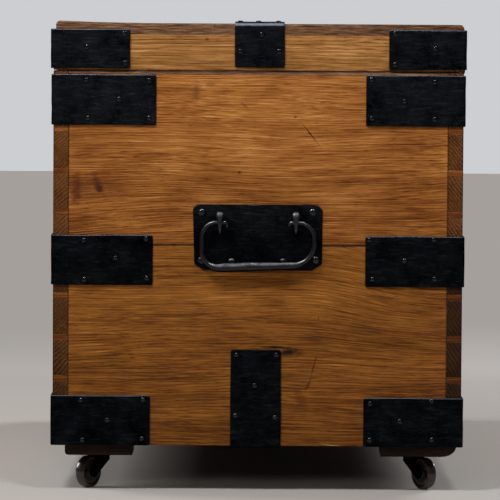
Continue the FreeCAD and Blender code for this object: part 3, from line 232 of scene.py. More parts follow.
def around_corner(start, corner, end, radius):
    """Points and outward normals along an L-shaped path on the wood. Both legs are straight, and the
    bend between them is a quarter circle."""
    first = corner - start
    second = end - corner
    first_length = np.linalg.norm(first)
    second_length = np.linalg.norm(second)
    first /= first_length
    second /= second_length
    near_end = np.array([0.0, 0.5, 1.0, 1.6, 2.4, 3.4, 4.6])

    def steps(length):
        """Places along a leg, close together at its free end."""
        return np.concatenate([near_end, np.arange(7.5, length - radius - 1, 3.0), [length - radius]])

    leg = start + first * steps(first_length)[:, None]
    back = end - second * steps(second_length)[::-1, None]
    turn = np.linspace(0, math.pi / 2, 7)[1:-1, None]
    centre = corner - first * radius + second * radius
    bend = centre + radius * (first * np.sin(turn) - second * np.cos(turn))
    points = np.concatenate([leg, bend, back])
    normals = np.concatenate([
        np.repeat(-second[None], len(leg), 0),
        first * np.sin(turn) - second * np.cos(turn),
        np.repeat(first[None], len(back), 0)])
    return points, normals


def strap(path, across, low, high, seed, corner=3.0, thickness=IRON):
    """Forged strap: a flat bar with rounded edges carried along a path. Each row is the outline of the
    bar's section, from edge to edge over the outside and back against the wood; its edges waver, the
    outside is dented, and the corners of both free ends are rounded off."""
    points, normals = path
    walked = lengths_along(points)
    left = np.minimum(walked, walked[-1] - walked)
    cut = np.clip(corner - left, 0, corner)
    clip = corner - np.sqrt(np.clip(corner ** 2 - cut ** 2, 0, None))
    low = low + clip + dents(walked, walked * 0, seed, depth=0.22, length=45)
    high = high - clip + dents(walked, walked * 0, seed + 1, depth=0.22, length=45)
    edge = 0.8
    quarter = np.linspace(0, math.pi / 2, 4)
    share = np.linspace(0, 1, 22)
    drawn_in = edge * (1 - np.cos(quarter))
    risen = thickness - edge * (1 - np.sin(quarter))
    sunk = -0.25
    none = quarter[:-1] * 0
    inset = np.concatenate([[0], drawn_in[:-1], edge + 0 * share, drawn_in[-2::-1], [0]])
    place = np.concatenate([[0], none, share, 1 + none, [1]])
    out = np.concatenate([[sunk], risen[:-1], thickness + 0 * share, risen[-2::-1], [sunk]])
    on_face = np.concatenate([[0], none, np.minimum(1, 6 * np.minimum(share, 1 - share)), none, [0]])
    level = low[:, None] + (high - low)[:, None] * place
    level = level + np.where(place <= 0, inset, 0) - np.where(place >= 1, inset, 0)
    inner = (place > 0) & (place < 1)
    level = np.where(inner, low[:, None] + edge + (high - low - 2 * edge)[:, None] * place, level)
    end_round = np.clip(left / 0.9, 0, 1)[:, None]
    depth = out * (0.7 + 0.3 * np.sqrt(1 - (1 - end_round) ** 2))
    depth = depth + on_face * dents(level, walked[:, None] + 0 * level, seed + 2, depth=0.14, length=16)
    depth = np.minimum(depth, thickness + 0.15)
    surface = points[:, None, :] + normals[:, None, :] * depth[..., None] + across * level[..., None]
    return capped(surface, len(points), len(out))


def domes(spots, outward, radius, height, seed, roughness=0.05):
    """Hammered nail heads: rings of a dome over each spot, slightly oval, with a flat base sunk in
    what carries it."""
    rng = np.random.default_rng(seed)
    spots = np.asarray(spots, float)
    outward = np.asarray(outward, float)
    count, around = len(spots), 12
    helper = np.where(np.abs(outward[:, 2:3]) > 0.5, [[1.0, 0, 0]], [[0, 0, 1.0]])
    first = np.cross(helper, outward)
    second = np.cross(outward, first)
    rings = np.array([[1.0, -0.3], [1.0, 0.1], [0.9, 0.52], [0.6, 0.86], [0.25, 0.99]])
    turn = circle(around)
    oval = 1 + roughness * np.sin(2 * turn + rng.uniform(0, TAU, (count, 1)))
    oval = oval + roughness * 0.6 * np.sin(3 * turn + rng.uniform(0, TAU, (count, 1)))
    size = radius * rng.uniform(0.94, 1.04, (count, 1, 1)) * rings[None, :, None, 0] * oval[:, None, :]
    tall = height * rng.uniform(0.85, 1.0, (count, 1)) * rings[None, :, 1]
    lean = rng.normal(0, 0.05, (count, 2))
    a = size * np.cos(turn)
    b = size * np.sin(turn)
    tall = tall[..., None] + (a * lean[:, :1, None] + b * lean[:, 1:, None]) * (rings[None, :, None, 1] > 0)
    grid = (spots[:, None, None] + first[:, None, None] * a[..., None] + second[:, None, None] * b[..., None]
            + outward[:, None, None] * np.minimum(tall, height)[..., None])
    return joined([capped(grid[i], len(rings), around) for i in range(count)])


def sheet(outline, levels, x_side, seed):
    """Forged plate on an end face: its outline drawn in towards the middle ring by ring. Each level is
    (share of the outline, height above the wood); the rings inside the edge carry soft dents."""
    middle = outline.mean(0)
    shares = np.array([level[0] for level in levels])[:, None, None]
    heights = np.array([level[1] for level in levels])[:, None]
    flat = middle + (outline - middle)[None] * shares
    relief = dents(flat[..., 0], flat[..., 1], seed, depth=0.16, length=18)
    rise = heights + relief * (heights > 1.9) * (shares[..., 0] < 0.985)
    grid = np.stack([x_side * (END_FACE + rise), flat[..., 0], flat[..., 1]], -1)
    return capped(grid, len(levels), outline.shape[0])


def outline_through(corners, step, soften):
    """Closed outline through corner points: walked in even steps, then each point is averaged with its
    neighbours to take off the sharp corners."""
    loop = np.concatenate([corners, corners[:1]])
    length = lengths_along(loop)[-1]
    points = walk(loop, np.linspace(0, length, int(length / step), endpoint=False))
    for _ in range(soften):
        points = (np.roll(points, 1, 0) + 2 * points + np.roll(points, -1, 0)) / 4
    return points


def bent_route(corners, radii, step):
    """Smooth path in a plane: straight runs joined by arcs of the given radii at the inner corners. Returns
    points an even step apart and how far along each lies."""
    corners = np.asarray(corners, float)
    pieces = [corners[:1]]
    for index in range(1, len(corners) - 1):
        before, here, after = corners[index - 1:index + 2]
        inward = (before - here) / np.linalg.norm(before - here)
        onward = (after - here) / np.linalg.norm(after - here)
        half = math.acos(np.clip(inward @ onward, -1, 1)) / 2
        reach = radii[index - 1] / math.tan(half)
        bisector = (inward + onward) / np.linalg.norm(inward + onward)
        centre = here + bisector * radii[index - 1] / math.sin(half)
        start, stop = here + inward * reach - centre, here + onward * reach - centre
        sweep = math.pi - 2 * half
        share = np.linspace(0, 1, max(4, int(sweep * radii[index - 1] / step)))[:, None]
        arc = (np.sin((1 - share) * sweep) * start + np.sin(share * sweep) * stop) / math.sin(sweep)
        pieces.append(centre + arc)
    pieces.append(corners[-1:])
    loop = np.concatenate(pieces)
    length = lengths_along(loop)[-1]
    at = np.linspace(0, length, int(length / step))
    return walk(loop, at), at


def turned(profile, centre, axis, around=72):
    """Lathe-turned ring: a closed profile of (along the axis, from the axis) carried round the axis."""
    axis = np.asarray(axis, float) / np.linalg.norm(axis)
    helper = np.array([0, 0, 1.0]) if abs(axis[2]) < 0.9 else np.array([1.0, 0, 0])
    first = np.cross(axis, helper)
    first /= np.linalg.norm(first)
    second = np.cross(axis, first)
    profile = np.asarray(profile, float)
    turn = circle(around)
    round_about = np.cos(turn)[:, None] * first + np.sin(turn)[:, None] * second
    grid = (np.asarray(centre, float) + profile[:, None, :1] * axis
            + profile[:, None, 1:] * round_about[None])
    return grid.reshape(-1, 3), ring_faces(len(profile), around, rows_close=True)


# Materials

def linear(code):
    """An sRGB hex colour as linear red, green, blue and a full alpha."""
    parts = [int(code[i:i + 2], 16) / 255 for i in (0, 2, 4)]
    return [p / 12.92 if p <= 0.04045 else ((p + 0.055) / 1.055) ** 2.4 for p in parts] + [1.0]


def fill(node, sockets):
    """Set a node's sockets by name or place, each to a value or to another node's output. None leaves a
    socket as it is."""
    for key, value in sockets.items():
        if isinstance(value, bpy.types.NodeSocket):
            node.id_data.links.new(value, node.inputs[key])
        elif value is not None:
            node.inputs[key].default_value = value


def add(tree, kind, *values, stops=(), out=None, **settings):
    """Add one node and return one of its outputs, the first open one unless out names another. A word
    after its kind is its operation. Settings with a small letter are its properties and those with a
    capital are sockets by name. The values go, in order, to the sockets that the properties leave open.
    Stops are the places and colours of its ramp."""
    kind, _, operation = kind.partition(" ")
    node = tree.nodes.new(f"ShaderNode{kind}")
    if operation:
        node.operation = operation.upper()
    for key, value in settings.items():
        if key[0].islower():
            setattr(node, key, value)
    for number, (at, code) in enumerate(stops):
        ramp = node.color_ramp.elements
        element = ramp[number] if number < len(ramp) else ramp.new(1.0)
        element.position = at
        element.color = linear(code)
    places = [place for place, socket in enumerate(node.inputs) if socket.enabled]
    fill(node, dict(zip(places, values)))
    fill(node, {key: value for key, value in settings.items() if key[0].isupper()})
    return node.outputs[out] if out else next((socket for socket in node.outputs if socket.enabled), None)


def new_material(name):
    """A new material, the function that adds nodes to it, and its Principled shader."""
    material = bpy.data.materials.new(name)
    material.use_nodes = True
    tree = material.node_tree
    shader = next(node for node in tree.nodes if node.type == "BSDF_PRINCIPLED")
    return material, partial(add, tree), shader


def in_mm(node):
    """Object coordinates in millimetres."""
    return node("VectorMath scale", node("TexCoord", out="Object"), 1 / MM)


RING_STOPS = ((0.0, "a0a0a0"), (0.1, "ffffff"), (0.3, "808080"), (0.55, "202020"), (0.92, "101010"),
              (1.0, "a0a0a0"))
TONE_PLACES = (0.0, 0.26, 0.5, 0.74, 1.0)
NOISE_MEAN = 0.5
SEAM_SHADE_AND_DIRT = "120a06"


def oak(name, grain, pith, ring, tones, seed, dullness=0.56, end_tone=0.5, bands=0.5, end_lines=None,
        leans=(), patina_and_shade=(), seams=(), marks=()):
    """Old oak board, its figure solid in the wood. The rings lie round a pith axis that runs along the
    grain (0 is X, 1 is Y), so many mm apart. Slow noise bends rings and fibres, quick noise only the rings,
    and each lean pushes them down by so many mm between two places along Y and two levels. Early wood
    darkens the board by bands. Fibres are long thin noise, pores short dashes that crowd where a ring
    begins, and wide noise makes parts of a board lighter. End grain is darker by end_tone; on a board whose
    rings lie flat it shows end_lines, so many mm wide along Y and tall. Patina, and painted shade where the
    light falls off, darkens by an amount from a clean place to a dark one along an axis. Seams are ragged
    dark lines of painted shade with some dirt along joints and gaps (axis, how far out, width, amount), on
    faces that lie along their axis. Marks are stains and scratches (y, z, length, height, slant in
    degrees, colour, amount) on the right end. Dullness is the roughness of the palest wood. Fibres and pores
    are drawn over 1 mm wide, about three times the real ones, so that they show."""
    material, node, shader = new_material(name)
    point = in_mm(node)
    place = node("SeparateXYZ", point).node.outputs
    base = node("VectorMath add", point, (seed * 913.0, seed * 517.0, seed * 331.0))

    def stretched(across, along, detail=2.0, rough=0.5, start=None, out="Fac"):
        """Noise whose features are so many mm across and along the grain."""
        scale = [1 / across] * 3
        scale[grain] = 1 / along
        return node("TexNoise", node("Mapping", start or bent, Scale=scale), 1.0, detail, rough, out=out)

    def swayed(value, noise, amount):
        """A value that a noise takes up and down: value + amount * (noise - its mean)."""
        swing = node("Math subtract", noise, NOISE_MEAN)
        return node("Math multiply_add", swing, amount, value)

    # How far each point is pushed, and its distance from the pith in years
    crossing = [1.0, 1.0, 1.0]
    crossing[grain] = 0.0
    push = stretched(90.0, 330.0, start=base, out="Color")
    for operation, by in (("subtract", (NOISE_MEAN,) * 3), ("scale", 22.0), ("multiply", crossing)):
        push = node(f"VectorMath {operation}", push, by)
    for (near, far), (start, full), amount in leans:
        sideways = node("MapRange", place[Y], near, far, interpolation_type="SMOOTHSTEP")
        upwards = node("MapRange", place[Z], start, full, 0.0, amount, interpolation_type="SMOOTHSTEP")
        sunk = node("CombineXYZ", Z=node("Math multiply", sideways, upwards))
        push = node("VectorMath add", push, sunk)
    bent = node("VectorMath add", base, push)
    quick = node("VectorMath subtract", stretched(16.0, 70.0, out="Color"), (NOISE_MEAN,) * 3)
    from_pith = point
    for operation, by in (("subtract", pith), ("add", push), ("add", quick), ("multiply", crossing)):
        from_pith = node(f"VectorMath {operation}", from_pith, by)
    years = node("Math divide", node("VectorMath length", from_pith), ring)
    year = node("Math fract", years)

    # Early wood begins each ring and is stronger in some parts of the board than in others
    early = node("RGBToBW", node("ValToRGB", year, stops=RING_STOPS))
    strength = node("MapRange", stretched(30.0, 260.0), 0.36, 0.64, 0.3, 1.0)
    early = node("Math multiply", early, strength)
    fibre = stretched(1.3, 110.0, 2.0, 0.6)
    pore = node("MapRange", stretched(1.1, 11.0, 1.0), 0.57, 0.7)
    pore = node("Math multiply", pore, node("Math multiply_add", early, 0.7, 0.3))

    tone = 0.56
    for noise, amount in ((fibre, 1.25), (stretched(0.9, 34.0, 1.0), 0.9), (stretched(3.4, 260.0, 1.0), 0.35),
                          (stretched(38.0, 80.0, 4.0, 0.6), 0.75), (stretched(16.0, 500.0, 1.0), 0.35)):
        tone = swayed(tone, noise, amount)
    darkened = 0.0
    # Patina, and painted shade where the light falls off along an axis
    for axis, clean, dark, amount in patina_and_shade:
        depth = node("MapRange", place[axis], clean, dark, 0.0, amount, interpolation_type="SMOOTHSTEP")
        darkened = node("Math add", depth, darkened)
    tone = node("Math subtract", tone, darkened)
    tone = node("Math multiply_add", early, -0.45 * bands, tone)
    tone = node("Math multiply_add", pore, -0.42, tone, use_clamp=True)
    tone_stops = tuple(zip(TONE_PLACES, tones))
    colour = node("ValToRGB", tone, stops=tone_stops)

    # End grain has drunk more oil
    facing = node("SeparateXYZ", node("TexCoord", out="Normal")).node.outputs
    facing = [node("Math absolute", facing[axis]) for axis in range(3)]
    cut_across = node("MapRange", facing[grain], 0.6, 0.9)
    if end_lines:
        wide, tall = end_lines
        flat = node("TexNoise", node("Mapping", base, Scale=(0.1, 1 / wide, 1 / tall)), 1.0, 4.0, 0.65)
        flat = node("Math subtract", swayed(0.58, flat, 3.0), darkened, use_clamp=True)
        end_grain = node("VectorMath scale", node("ValToRGB", flat, stops=tone_stops), end_tone)
    else:
        share = node("Math multiply_add", early, -0.85, 1.22)
        share = node("Math multiply", share, end_tone)
        end_grain = node("VectorMath scale", colour, share)
    colour = node("Mix", cut_across, colour, end_grain, data_type="RGBA")

    # Painted shade and dirt in the seams, then stains and scratches
    ragged = stretched(5.0, 14.0, 3.0, 0.7)
    for axis, level, width, amount in seams:
        apart = node("Math subtract", node("Math absolute", place[axis]), level)
        apart = swayed(node("Math absolute", apart), ragged, width)
        mask = node("MapRange", apart, width, width * 0.3, 0.0, amount)
        mask = node("Math multiply", mask, node("MapRange", facing[axis], 0.8, 0.5))
        colour = node("Mix", mask, colour, linear(SEAM_SHADE_AND_DIRT), data_type="RGBA")
    for y, z, length, height, slant, code, amount in marks:
        spot = node("VectorMath subtract", point, (END_FACE, y, z))
        spot = node("VectorRotate", spot, None, math.radians(-slant), rotation_type="X_AXIS")
        spot = node("VectorMath multiply", spot, (1 / MARK_DEPTH, 2 / length, 2 / height))
        size = swayed(node("VectorMath length", spot), ragged, 1.6)
        mask = node("MapRange", size, 1.0, 0.35, 0.0, amount)
        colour = node("Mix", mask, colour, linear(code), data_type="RGBA")

    # Pale wood holds more wax and gloss, fibres stand up, and pores and early wood lie lower
    polish = node("MapRange", tone, 0.0, 1.0, dullness + 0.12, dullness)
    relief = node("Math multiply_add", pore, -1.0, node("Math multiply", early, -0.3))
    relief = node("Math multiply_add", fibre, 0.6, relief)
    bump = node("Bump", Strength=0.5, Distance=0.4 * MM, Height=relief)
    fill(shader, {"Base Color": colour, "Roughness": polish, "Normal": bump, "IOR": 1.45,
                  "Specular IOR Level": 0.16})
    return material


def iron(name, dark, light, rough, relief, grit=2.2, scratches=0.12, share=0.08, handled=(), edges=0.45,
         rim="6e6e6e"):
    """Forged iron under old blacking. It is mottled in patches 26 mm wide with grit in them, dented in
    13 mm hammer marks, and rubbed paler in level streaks, thin scratches and along its edges. Bends and
    edges that face half upwards are paler most of all, a painted highlight where the light from above
    catches them, with some wear. Between the two levels in handled the paler share grows from a half to
    the whole: on the straps this is painted light from the lamps above, on the plate where hands smudge it.
    Rim is the tint of its grazing shine. A piece with large flat CAD faces has no edge wear, since the wear
    would spread over its faces."""
    material, node, shader = new_material(name)
    point = in_mm(node)
    cloud = node("TexNoise", point, 1 / 26.0, 5.0, 0.65)
    grain = node("TexNoise", point, 1 / grit, 3.0, 0.6)
    hammer = node("TexVoronoi", point, 1 / 13.0, Smoothness=0.7, feature="SMOOTH_F1")
    streaks = node("TexNoise", node("Mapping", point, Scale=(1 / 17.0, 1 / 17.0, 1 / 2.6)), 1.0, 3.0, 0.6)
    thin = node("Mapping", point, Rotation=(0.9, 0.4, 0.3), Scale=(1 / 1.1, 1 / 18.0, 1 / 1.1))
    scratch = node("MapRange", node("TexNoise", thin, 1.0, 1.0, 0.6), 0.66, 0.76, 0.0, scratches)

    patches = node("MapRange", node("Math multiply_add", grain, 0.4, cloud), 0.5, 0.9)
    rubbed = node("Math multiply", node("MapRange", streaks, 0.5, 0.72), patches)
    patches = node("Math multiply", patches, 0.7)
    mottled = node("Math multiply_add", rubbed, 1.3, patches)
    if handled:
        # Painted light: the straps grow paler higher up, as if lit from above; on the plate, hands smudge its
        # upper part
        lit_and_reached = node("MapRange", node("SeparateXYZ", point, out="Z"), *handled, 0.5, 1.0)
        mottled = node("Math multiply", mottled, lit_and_reached)

    edge = node("MapRange", node("NewGeometry", out="Pointiness"), 0.53, 0.62, 0.0, edges)
    upwards = node("SeparateXYZ", node("TexCoord", out="Normal"), out="Z")
    # Painted highlight: bends and edges that face half upwards turn paler where the light from above catches
    # them
    bend = node("MapRange", upwards, 0.12, 0.24, 0.0, 1.7 * edges)
    bend = node("Math multiply", bend, node("MapRange", upwards, 0.82, 0.68))
    # Wear from scratches and edges, with the painted highlight of the upward bends
    worn = node("Math maximum", scratch, node("Math maximum", edge, bend))
    paler = node("Math multiply_add", mottled, share, worn, use_clamp=True)
    colour = node("Mix", paler, linear(dark), linear(light), data_type="RGBA")
    polish = node("MapRange", mottled, 0.0, 1.0, rough + 0.08, rough - 0.08)
    height = node("Math multiply_add", grain, 0.25, hammer)
    bump = node("Bump", Strength=0.5, Distance=relief * MM, Height=height)
    fill(shader, {"Base Color": colour, "Roughness": polish, "Normal": bump, "Metallic": 1.0,
                  "Specular Tint": linear(rim)})
    return material


def turned_lignum():
    """Caster wheels turned from dark lignum vitae and polished by use: brown, with slow clouds 7 mm wide
    and a soft gloss over them."""
    material, node, shader = new_material("polished_lignum_wheels")
    cloud = node("TexNoise", in_mm(node), 1 / 7.0, 4.0, 0.6)
    colour = node("ValToRGB", cloud, stops=((0.25, "0d0605"), (0.5, "1f110c"), (0.75, "38231a")))
    rough = node("MapRange", cloud, 0.0, 1.0, 0.16, 0.32)
    bump = node("Bump", Strength=0.4, Distance=0.3 * MM, Height=cloud)
    fill(shader, {"Base Color": colour, "Roughness": rough, "Normal": bump, "IOR": 1.5, "Coat Weight": 0.25,
                  "Coat Roughness": 0.14})
    return material


# Oak, from the darkest pores and lines to the palest wood
UPPER_TONES = ("532607", "723f14", "8d5623", "a26830", "bf874f")
# The lower boards' tones are darker than the upper ones, partly painted shade of the light from above
LOWER_TONES = ("442006", "5e340c", "764615", "89541d", "a76f33")
RAIL_TONES = ("4b2a0b", "70481e", "8b5b2c", "a0703c", "be915c")
SIDE_TONES = ("421c05", "623510", "804c1d", "945c27", "b0783f")
TOP_TONES = ("21130a", "3f2817", "583a25", "6b4c35", "84654c")
# The bottom and block tones are dark, partly painted shade of the space under the chest
PLAIN_TONES = ("1c1209", "33220f", "4a3219", "5c4022", "70522f")
BLOCK_TONES = ("080403", "110906", "1b0f09", "26160f", "331f15")
LIP_TONES = ("33201a", "5a3826", "75503a", "8c684f", "a0806a")

# Marks on the right end: (y, z, length, height, slant in degrees, colour, amount)
MARK_DEPTH = 6.0                # how deep they go into the wood
UPPER_MARKS = (
    (-203.0, 352.0, 44, 30, 0, "683814", 0.5),
    (-190.0, 366.0, 38, 11, -66, "4a2412", 0.75),
    (-214.0, 356.0, 20, 40, 0, "4a2210", 0.85),
    (-186.5, 357.0, 15, 11, -30, "33180d", 0.8),
    (-22.3, 377.8, 6, 4, 0, "3a1f0e", 0.8),
    (43.3, 443.1, 4, 3, 0, "3a1f0e", 0.8),
    (-74.0, 474.0, 15, 26, 0, "5c3410", 0.75),
    (-56.0, 481.4, 16, 9, 0, "6b3f1c", 0.55),
    (-16.9, 456.9, 16, 4, -35, "4e2d14", 0.5),
    (62.3, 422.0, 42, 2.2, -52, "36180a", 0.85))
LOWER_MARKS = (
    (35.0, 166.0, 34, 12, 8, "140a05", 1.0),
    (20.0, 171.6, 36, 4.5, 0, "140a06", 1.0),
    (50.0, 163.5, 14, 1.6, 45, "2a170a", 0.8),
    (66.5, 148.0, 36, 2.8, 76, "3a1a08", 0.8),
    (60.5, 127.0, 24, 3.6, 66, "3a1a08", 0.7),
    (51.0, 112.0, 16, 34, 20, "4a2208", 0.5),
    (72.1, 205.6, 8, 2.0, 85, "2a170a", 0.7),
    (89.8, 55.2, 30, 3.0, -8, "b08a5c", 0.6))
RAIL_MARKS = ((-61.0, 534.5, 8, 6, 0, "3b200e", 0.8),)
TOP_MARKS = ((-52.0, 549.6, 1.5, 9.0, 0, "140b08", 0.9),)

# Dark lines along joints and gaps, painted shade with some dirt: (axis, how far out, width, amount)
CORNER_SEAMS = ((Y, SIDE_FACE - BOARD, 1.3, 0.7), (Y, SIDE_FACE, 1.6, 0.8))
END_SEAMS = ((Z, END_SEAM_LEVEL, 1.9, 1.0), *CORNER_SEAMS)
# Under the lid the lines are painted shade of the gap between lid and body
RAIL_SEAMS = ((Z, LID_LOW, 1.5, 0.9), (Z, LID_BOARDS_LOW, 1.2, 0.5))
LIP_SEAMS = ((Z, 495.9, 0.9, 0.85), (Z, 491.6, 1.2, 0.6))
# Patina and painted shade: (axis, clean, dark, amount). The dovetail pins at both sides of an end are darker
# than its board.
PIN_PATINA = ((Y, -222.0, -226.0, 0.22), (Y, 222.0, 226.0, 0.3))

# Ends: waxed oak, amber with fine level fibres, with painted shade and some dirt in the joints. They are
# darker low down and towards the right, partly painted shade of the light from above and the front; the
# end grain of the pins is browner
upper_oak = oak("waxed_oak_ends_upper", Y, (330.0, 0.0, -260.0), 2.9, UPPER_TONES, 1.0, marks=UPPER_MARKS,
                seams=END_SEAMS, leans=(((-90.0, -240.0), (420.0, 300.0), 9.0),),
                patina_and_shade=((Y, -130.0, -215.0, 0.13), (Y, 60.0, 200.0, 0.1), (Z, 400.0, 300.0, 0.1),
                        *PIN_PATINA))
lower_oak = oak("waxed_oak_ends_lower", Y, (560.0, 0.0, 700.0), 3.4, LOWER_TONES, 2.0, marks=LOWER_MARKS,
                seams=END_SEAMS, leans=(((50.0, 235.0), (120.0, 240.0), 25.0),),
                patina_and_shade=((Z, 290.0, 60.0, 0.15), (Y, 0.0, 200.0, 0.1), *PIN_PATINA))
# Front and back: the same waxed oak, with bolder rings: (pith, ring, seed, end_tone). The end grain of the
# lower boards is darker, most at the back, partly painted shade of the light from above and the front
SIDE_BOARDS = {
    "front_upper": ((0.0, 160.0, -60.0), 3.6, 3.0, 0.35),
    "front_lower": ((0.0, 190.0, -260.0), 3.8, 4.0, 0.24),
    "back_upper": ((0.0, -160.0, 60.0), 3.6, 12.0, 0.37),
    "back_lower": ((0.0, -190.0, -100.0), 3.8, 13.0, 0.1)}
side_oak = {board: oak(f"waxed_oak_{board}", X, pith, ring, SIDE_TONES, seed, end_tone=end_tone,
                       seams=CORNER_SEAMS, bands=1.0)
            for board, (pith, ring, seed, end_tone) in SIDE_BOARDS.items()}
# Lid: rails in a paler, drier oak, and top boards that have aged to a dull grey-brown, darker towards the
# back, partly painted shade of the light from the front
rail_end_oak = oak("waxed_oak_lid_ends", Y, (300.0, 0.0, 200.0), 3.4, RAIL_TONES, 5.0, marks=RAIL_MARKS,
                   seams=RAIL_SEAMS)
rail_side_oak = oak("waxed_oak_lid_sides", X, (0.0, 140.0, 300.0), 3.4, RAIL_TONES, 6.0, seams=RAIL_SEAMS)
top_oak = oak("darkened_oak_lid_top", X, (0.0, 30.0, -900.0), 2.6, TOP_TONES, 7.0, dullness=0.5,
              end_tone=1.08, end_lines=(26.0, 1.3), patina_and_shade=((Y, 20.0, 230.0, 0.17),), marks=TOP_MARKS)
# Never waxed: the bottom is dull and dark brown, partly painted shade of the underside, the lips are greyed,
# and the blocks are near black, partly floor dirt and partly painted shade of their place under the chest
plain_oak = oak("unwaxed_oak_bottom", X, (0.0, 0.0, -200.0), 5.0, PLAIN_TONES, 8.0, dullness=0.7)
lip_oak = oak("greyed_oak_lips", Y, (300.0, 0.0, 200.0), 3.4, LIP_TONES, 9.0, seams=LIP_SEAMS)
block_oak = oak("blackened_oak_blocks", Y, (0.0, 0.0, 200.0), 3.6, BLOCK_TONES, 10.0, dullness=0.6)

# Straps and hinges: hammered bar, blue-black with faint level rubbing and pale bends, worn and painted
# highlight; the straps are paler high up, painted light of the lamps above
strap_iron = iron("blackened_strap_iron", "050608", "626973", 0.56, 0.5, share=0.16, handled=(320.0, 440.0))
hinge_iron = iron("blackened_hinge_iron", "050608", "626973", 0.56, 0.5, share=0.16, edges=0.0)
# Handle plate: the same bar, smudged by fingers in its upper part
plate_iron = iron("smudged_plate_iron", "030406", "5c6068", 0.55, 0.5, share=0.17, handled=(295.0, 330.0),
                  edges=0.12)
# Nails, bail and eyes: touched for years, smoother and greyer, with small bright glints
nail_iron = iron("blackened_nail_iron", "303235", "85878c", 0.23, 0.1, grit=1.2, share=0.04, edges=0.0,
                 rim="1c1c1c")
handle_iron = iron("rubbed_handle_iron", "303032", "8c8c92", 0.3, 0.06, grit=3.0, scratches=0.05,
                   edges=0.1, rim="3a3a3a")
eye_iron = iron("forged_eye_iron", "38383a", "8a8a90", 0.42, 0.1, grit=3.0, scratches=0.05, share=0.1,
                edges=0.06, rim="3a3a3a")
# Lock: filed bright once, now grey. Caster metal: cast bronze, brown with age and almost black.
lock_iron = iron("filed_lock_iron", "4c4b49", "989793", 0.35, 0.08, edges=0.0)
caster_bronze = iron("patinated_bronze", "0c0806", "3c2a1e", 0.42, 0.1, edges=0.0)
wheel_wood = turned_lignum()

# Wooden boards with worn edges
BOARD_EDGE = 0.5
BOTTOM_EDGE = 0.4
RAIL_EDGE = 0.6
for side in ("left", "right"):
    eased(f"{side}_end_upper_board", upper_oak, BOARD_EDGE)
    eased(f"{side}_end_lower_board", lower_oak, BOARD_EDGE)
for board, wood in side_oak.items():
    eased(f"{board}_board", wood, BOARD_EDGE)
eased("end_top_lips", lip_oak, BOARD_EDGE)
eased("bottom_boards", plain_oak, BOTTOM_EDGE)


def caster_block(toward_x, toward_y, longer=0.0, side_round=BLOCK_ROUND, rise=BLOCK_ROUND):
    """Wooden block under a corner: a box whose outline is drawn in over its lower edges by an elliptic
    quarter. Its underside is a little lower than the caster's plate is thick, so the plate is let in.
    A longer block reaches further out along Y."""
    quarter = np.linspace(0, math.pi / 2, 7)
    drawn_in = np.concatenate([[0.0], 1 - np.cos(quarter)])
    level = np.concatenate([[BODY_LOW], BLOCK_LOW + rise * (1 - np.sin(quarter))])
    corner = circle(32)
    near = 1.5
    away = np.stack([BLOCK_ROUND * drawn_in, side_round * drawn_in], -1)
    ring = np.stack([np.cos(corner), np.sin(corner)], -1)
    outer = np.sign(np.round(ring, 6)) + (np.round(ring, 6) == 0)
    half = BLOCK_HALF - away[:, None] * (outer[None] > 0) - near
    flat = outer[None] * half + near * ring[None]
    x = toward_x * (BLOCK_MIDDLE_X + flat[..., 0])
    y = toward_y * (BLOCK_MIDDLE_Y + flat[..., 1] + longer * (flat[..., 1] > 0))
    return capped(np.stack([x, y, level[:, None] + 0 * x], -1), len(level), len(corner))


BACK_RIGHT_BLOCK = (9.5, 18.0, 13.0)     # longer and worn slanting: (longer, side_round, rise)
blocks = [caster_block(toward_x, toward_y, *(BACK_RIGHT_BLOCK if corner == "back_right" else ()))
          for corner, (toward_x, toward_y) in CORNERS.items()]
make("rounded_caster_blocks", joined(blocks), block_oak, "chest", "caster_block_oak", "caster_blocks")
for side in ("left", "right"):
    eased(f"lid_{side}_rail", rail_end_oak, RAIL_EDGE)
for side in ("front", "back"):
    eased(f"lid_{side}_rail", rail_side_oak, RAIL_EDGE)


def lid_board(near, far, near_round, far_round):
    """Top board: a flat bar with rounded upper edges carried along X. Its ends are rounded by drawing the
    last rows in, and the edge of the front board has risen with age, by the square of its way out."""
    low, high = LID_BOARDS_LOW, LID_HIGH
    end_round = 2.0
    quarter = np.linspace(0, math.pi / 2, 6)
    top = np.linspace(near + near_round, far - far_round, 24)[1:-1]
    side_y = np.concatenate([[near], near + near_round * (1 - np.cos(quarter)), top,
                             far - far_round * (1 - np.cos(quarter[::-1])), [far]])
    side_z = np.concatenate([[low], high - near_round * (1 - np.sin(quarter)), top * 0 + high,
                             high - far_round * (1 - np.sin(quarter[::-1])), [low]])
    ends = END_FACE - end_round * (1 - np.sin(quarter))
    x = np.concatenate([-ends[::-1], np.arange(-440.0, 441.0, 20.0), ends])
    inset = end_round * (1 - np.sin(np.arccos(np.clip(1 - (END_FACE - np.abs(x)) / end_round, 0, 1))))
    rise = 2.6 * np.clip((-side_y - 110.0) / 130.0, 0, 1) ** 2
    z = side_z[None] + rise[None] * (side_z[None] > low + 1)
    z = np.where(side_z[None] > high - 3, z - inset[:, None], z)
    grid = np.stack([x[:, None] + 0 * z, side_y[None] + 0 * z, z], -1)
    return capped(grid, len(x), len(side_y))


LID_BOARDS = {                  # near and far edge along Y, and how round each is
    "lid_front_board": (-238.7, -78.7, 5.0, 0.7),
    "lid_middle_board": (-78.6, 81.4, 0.7, 0.7),
    "lid_back_board": (81.5, 241.5, 0.7, 5.0)}
for name, edges in LID_BOARDS.items():
    make(f"{name}_planed", lid_board(*edges), top_oak, "lid", "lid_top_oak", name)

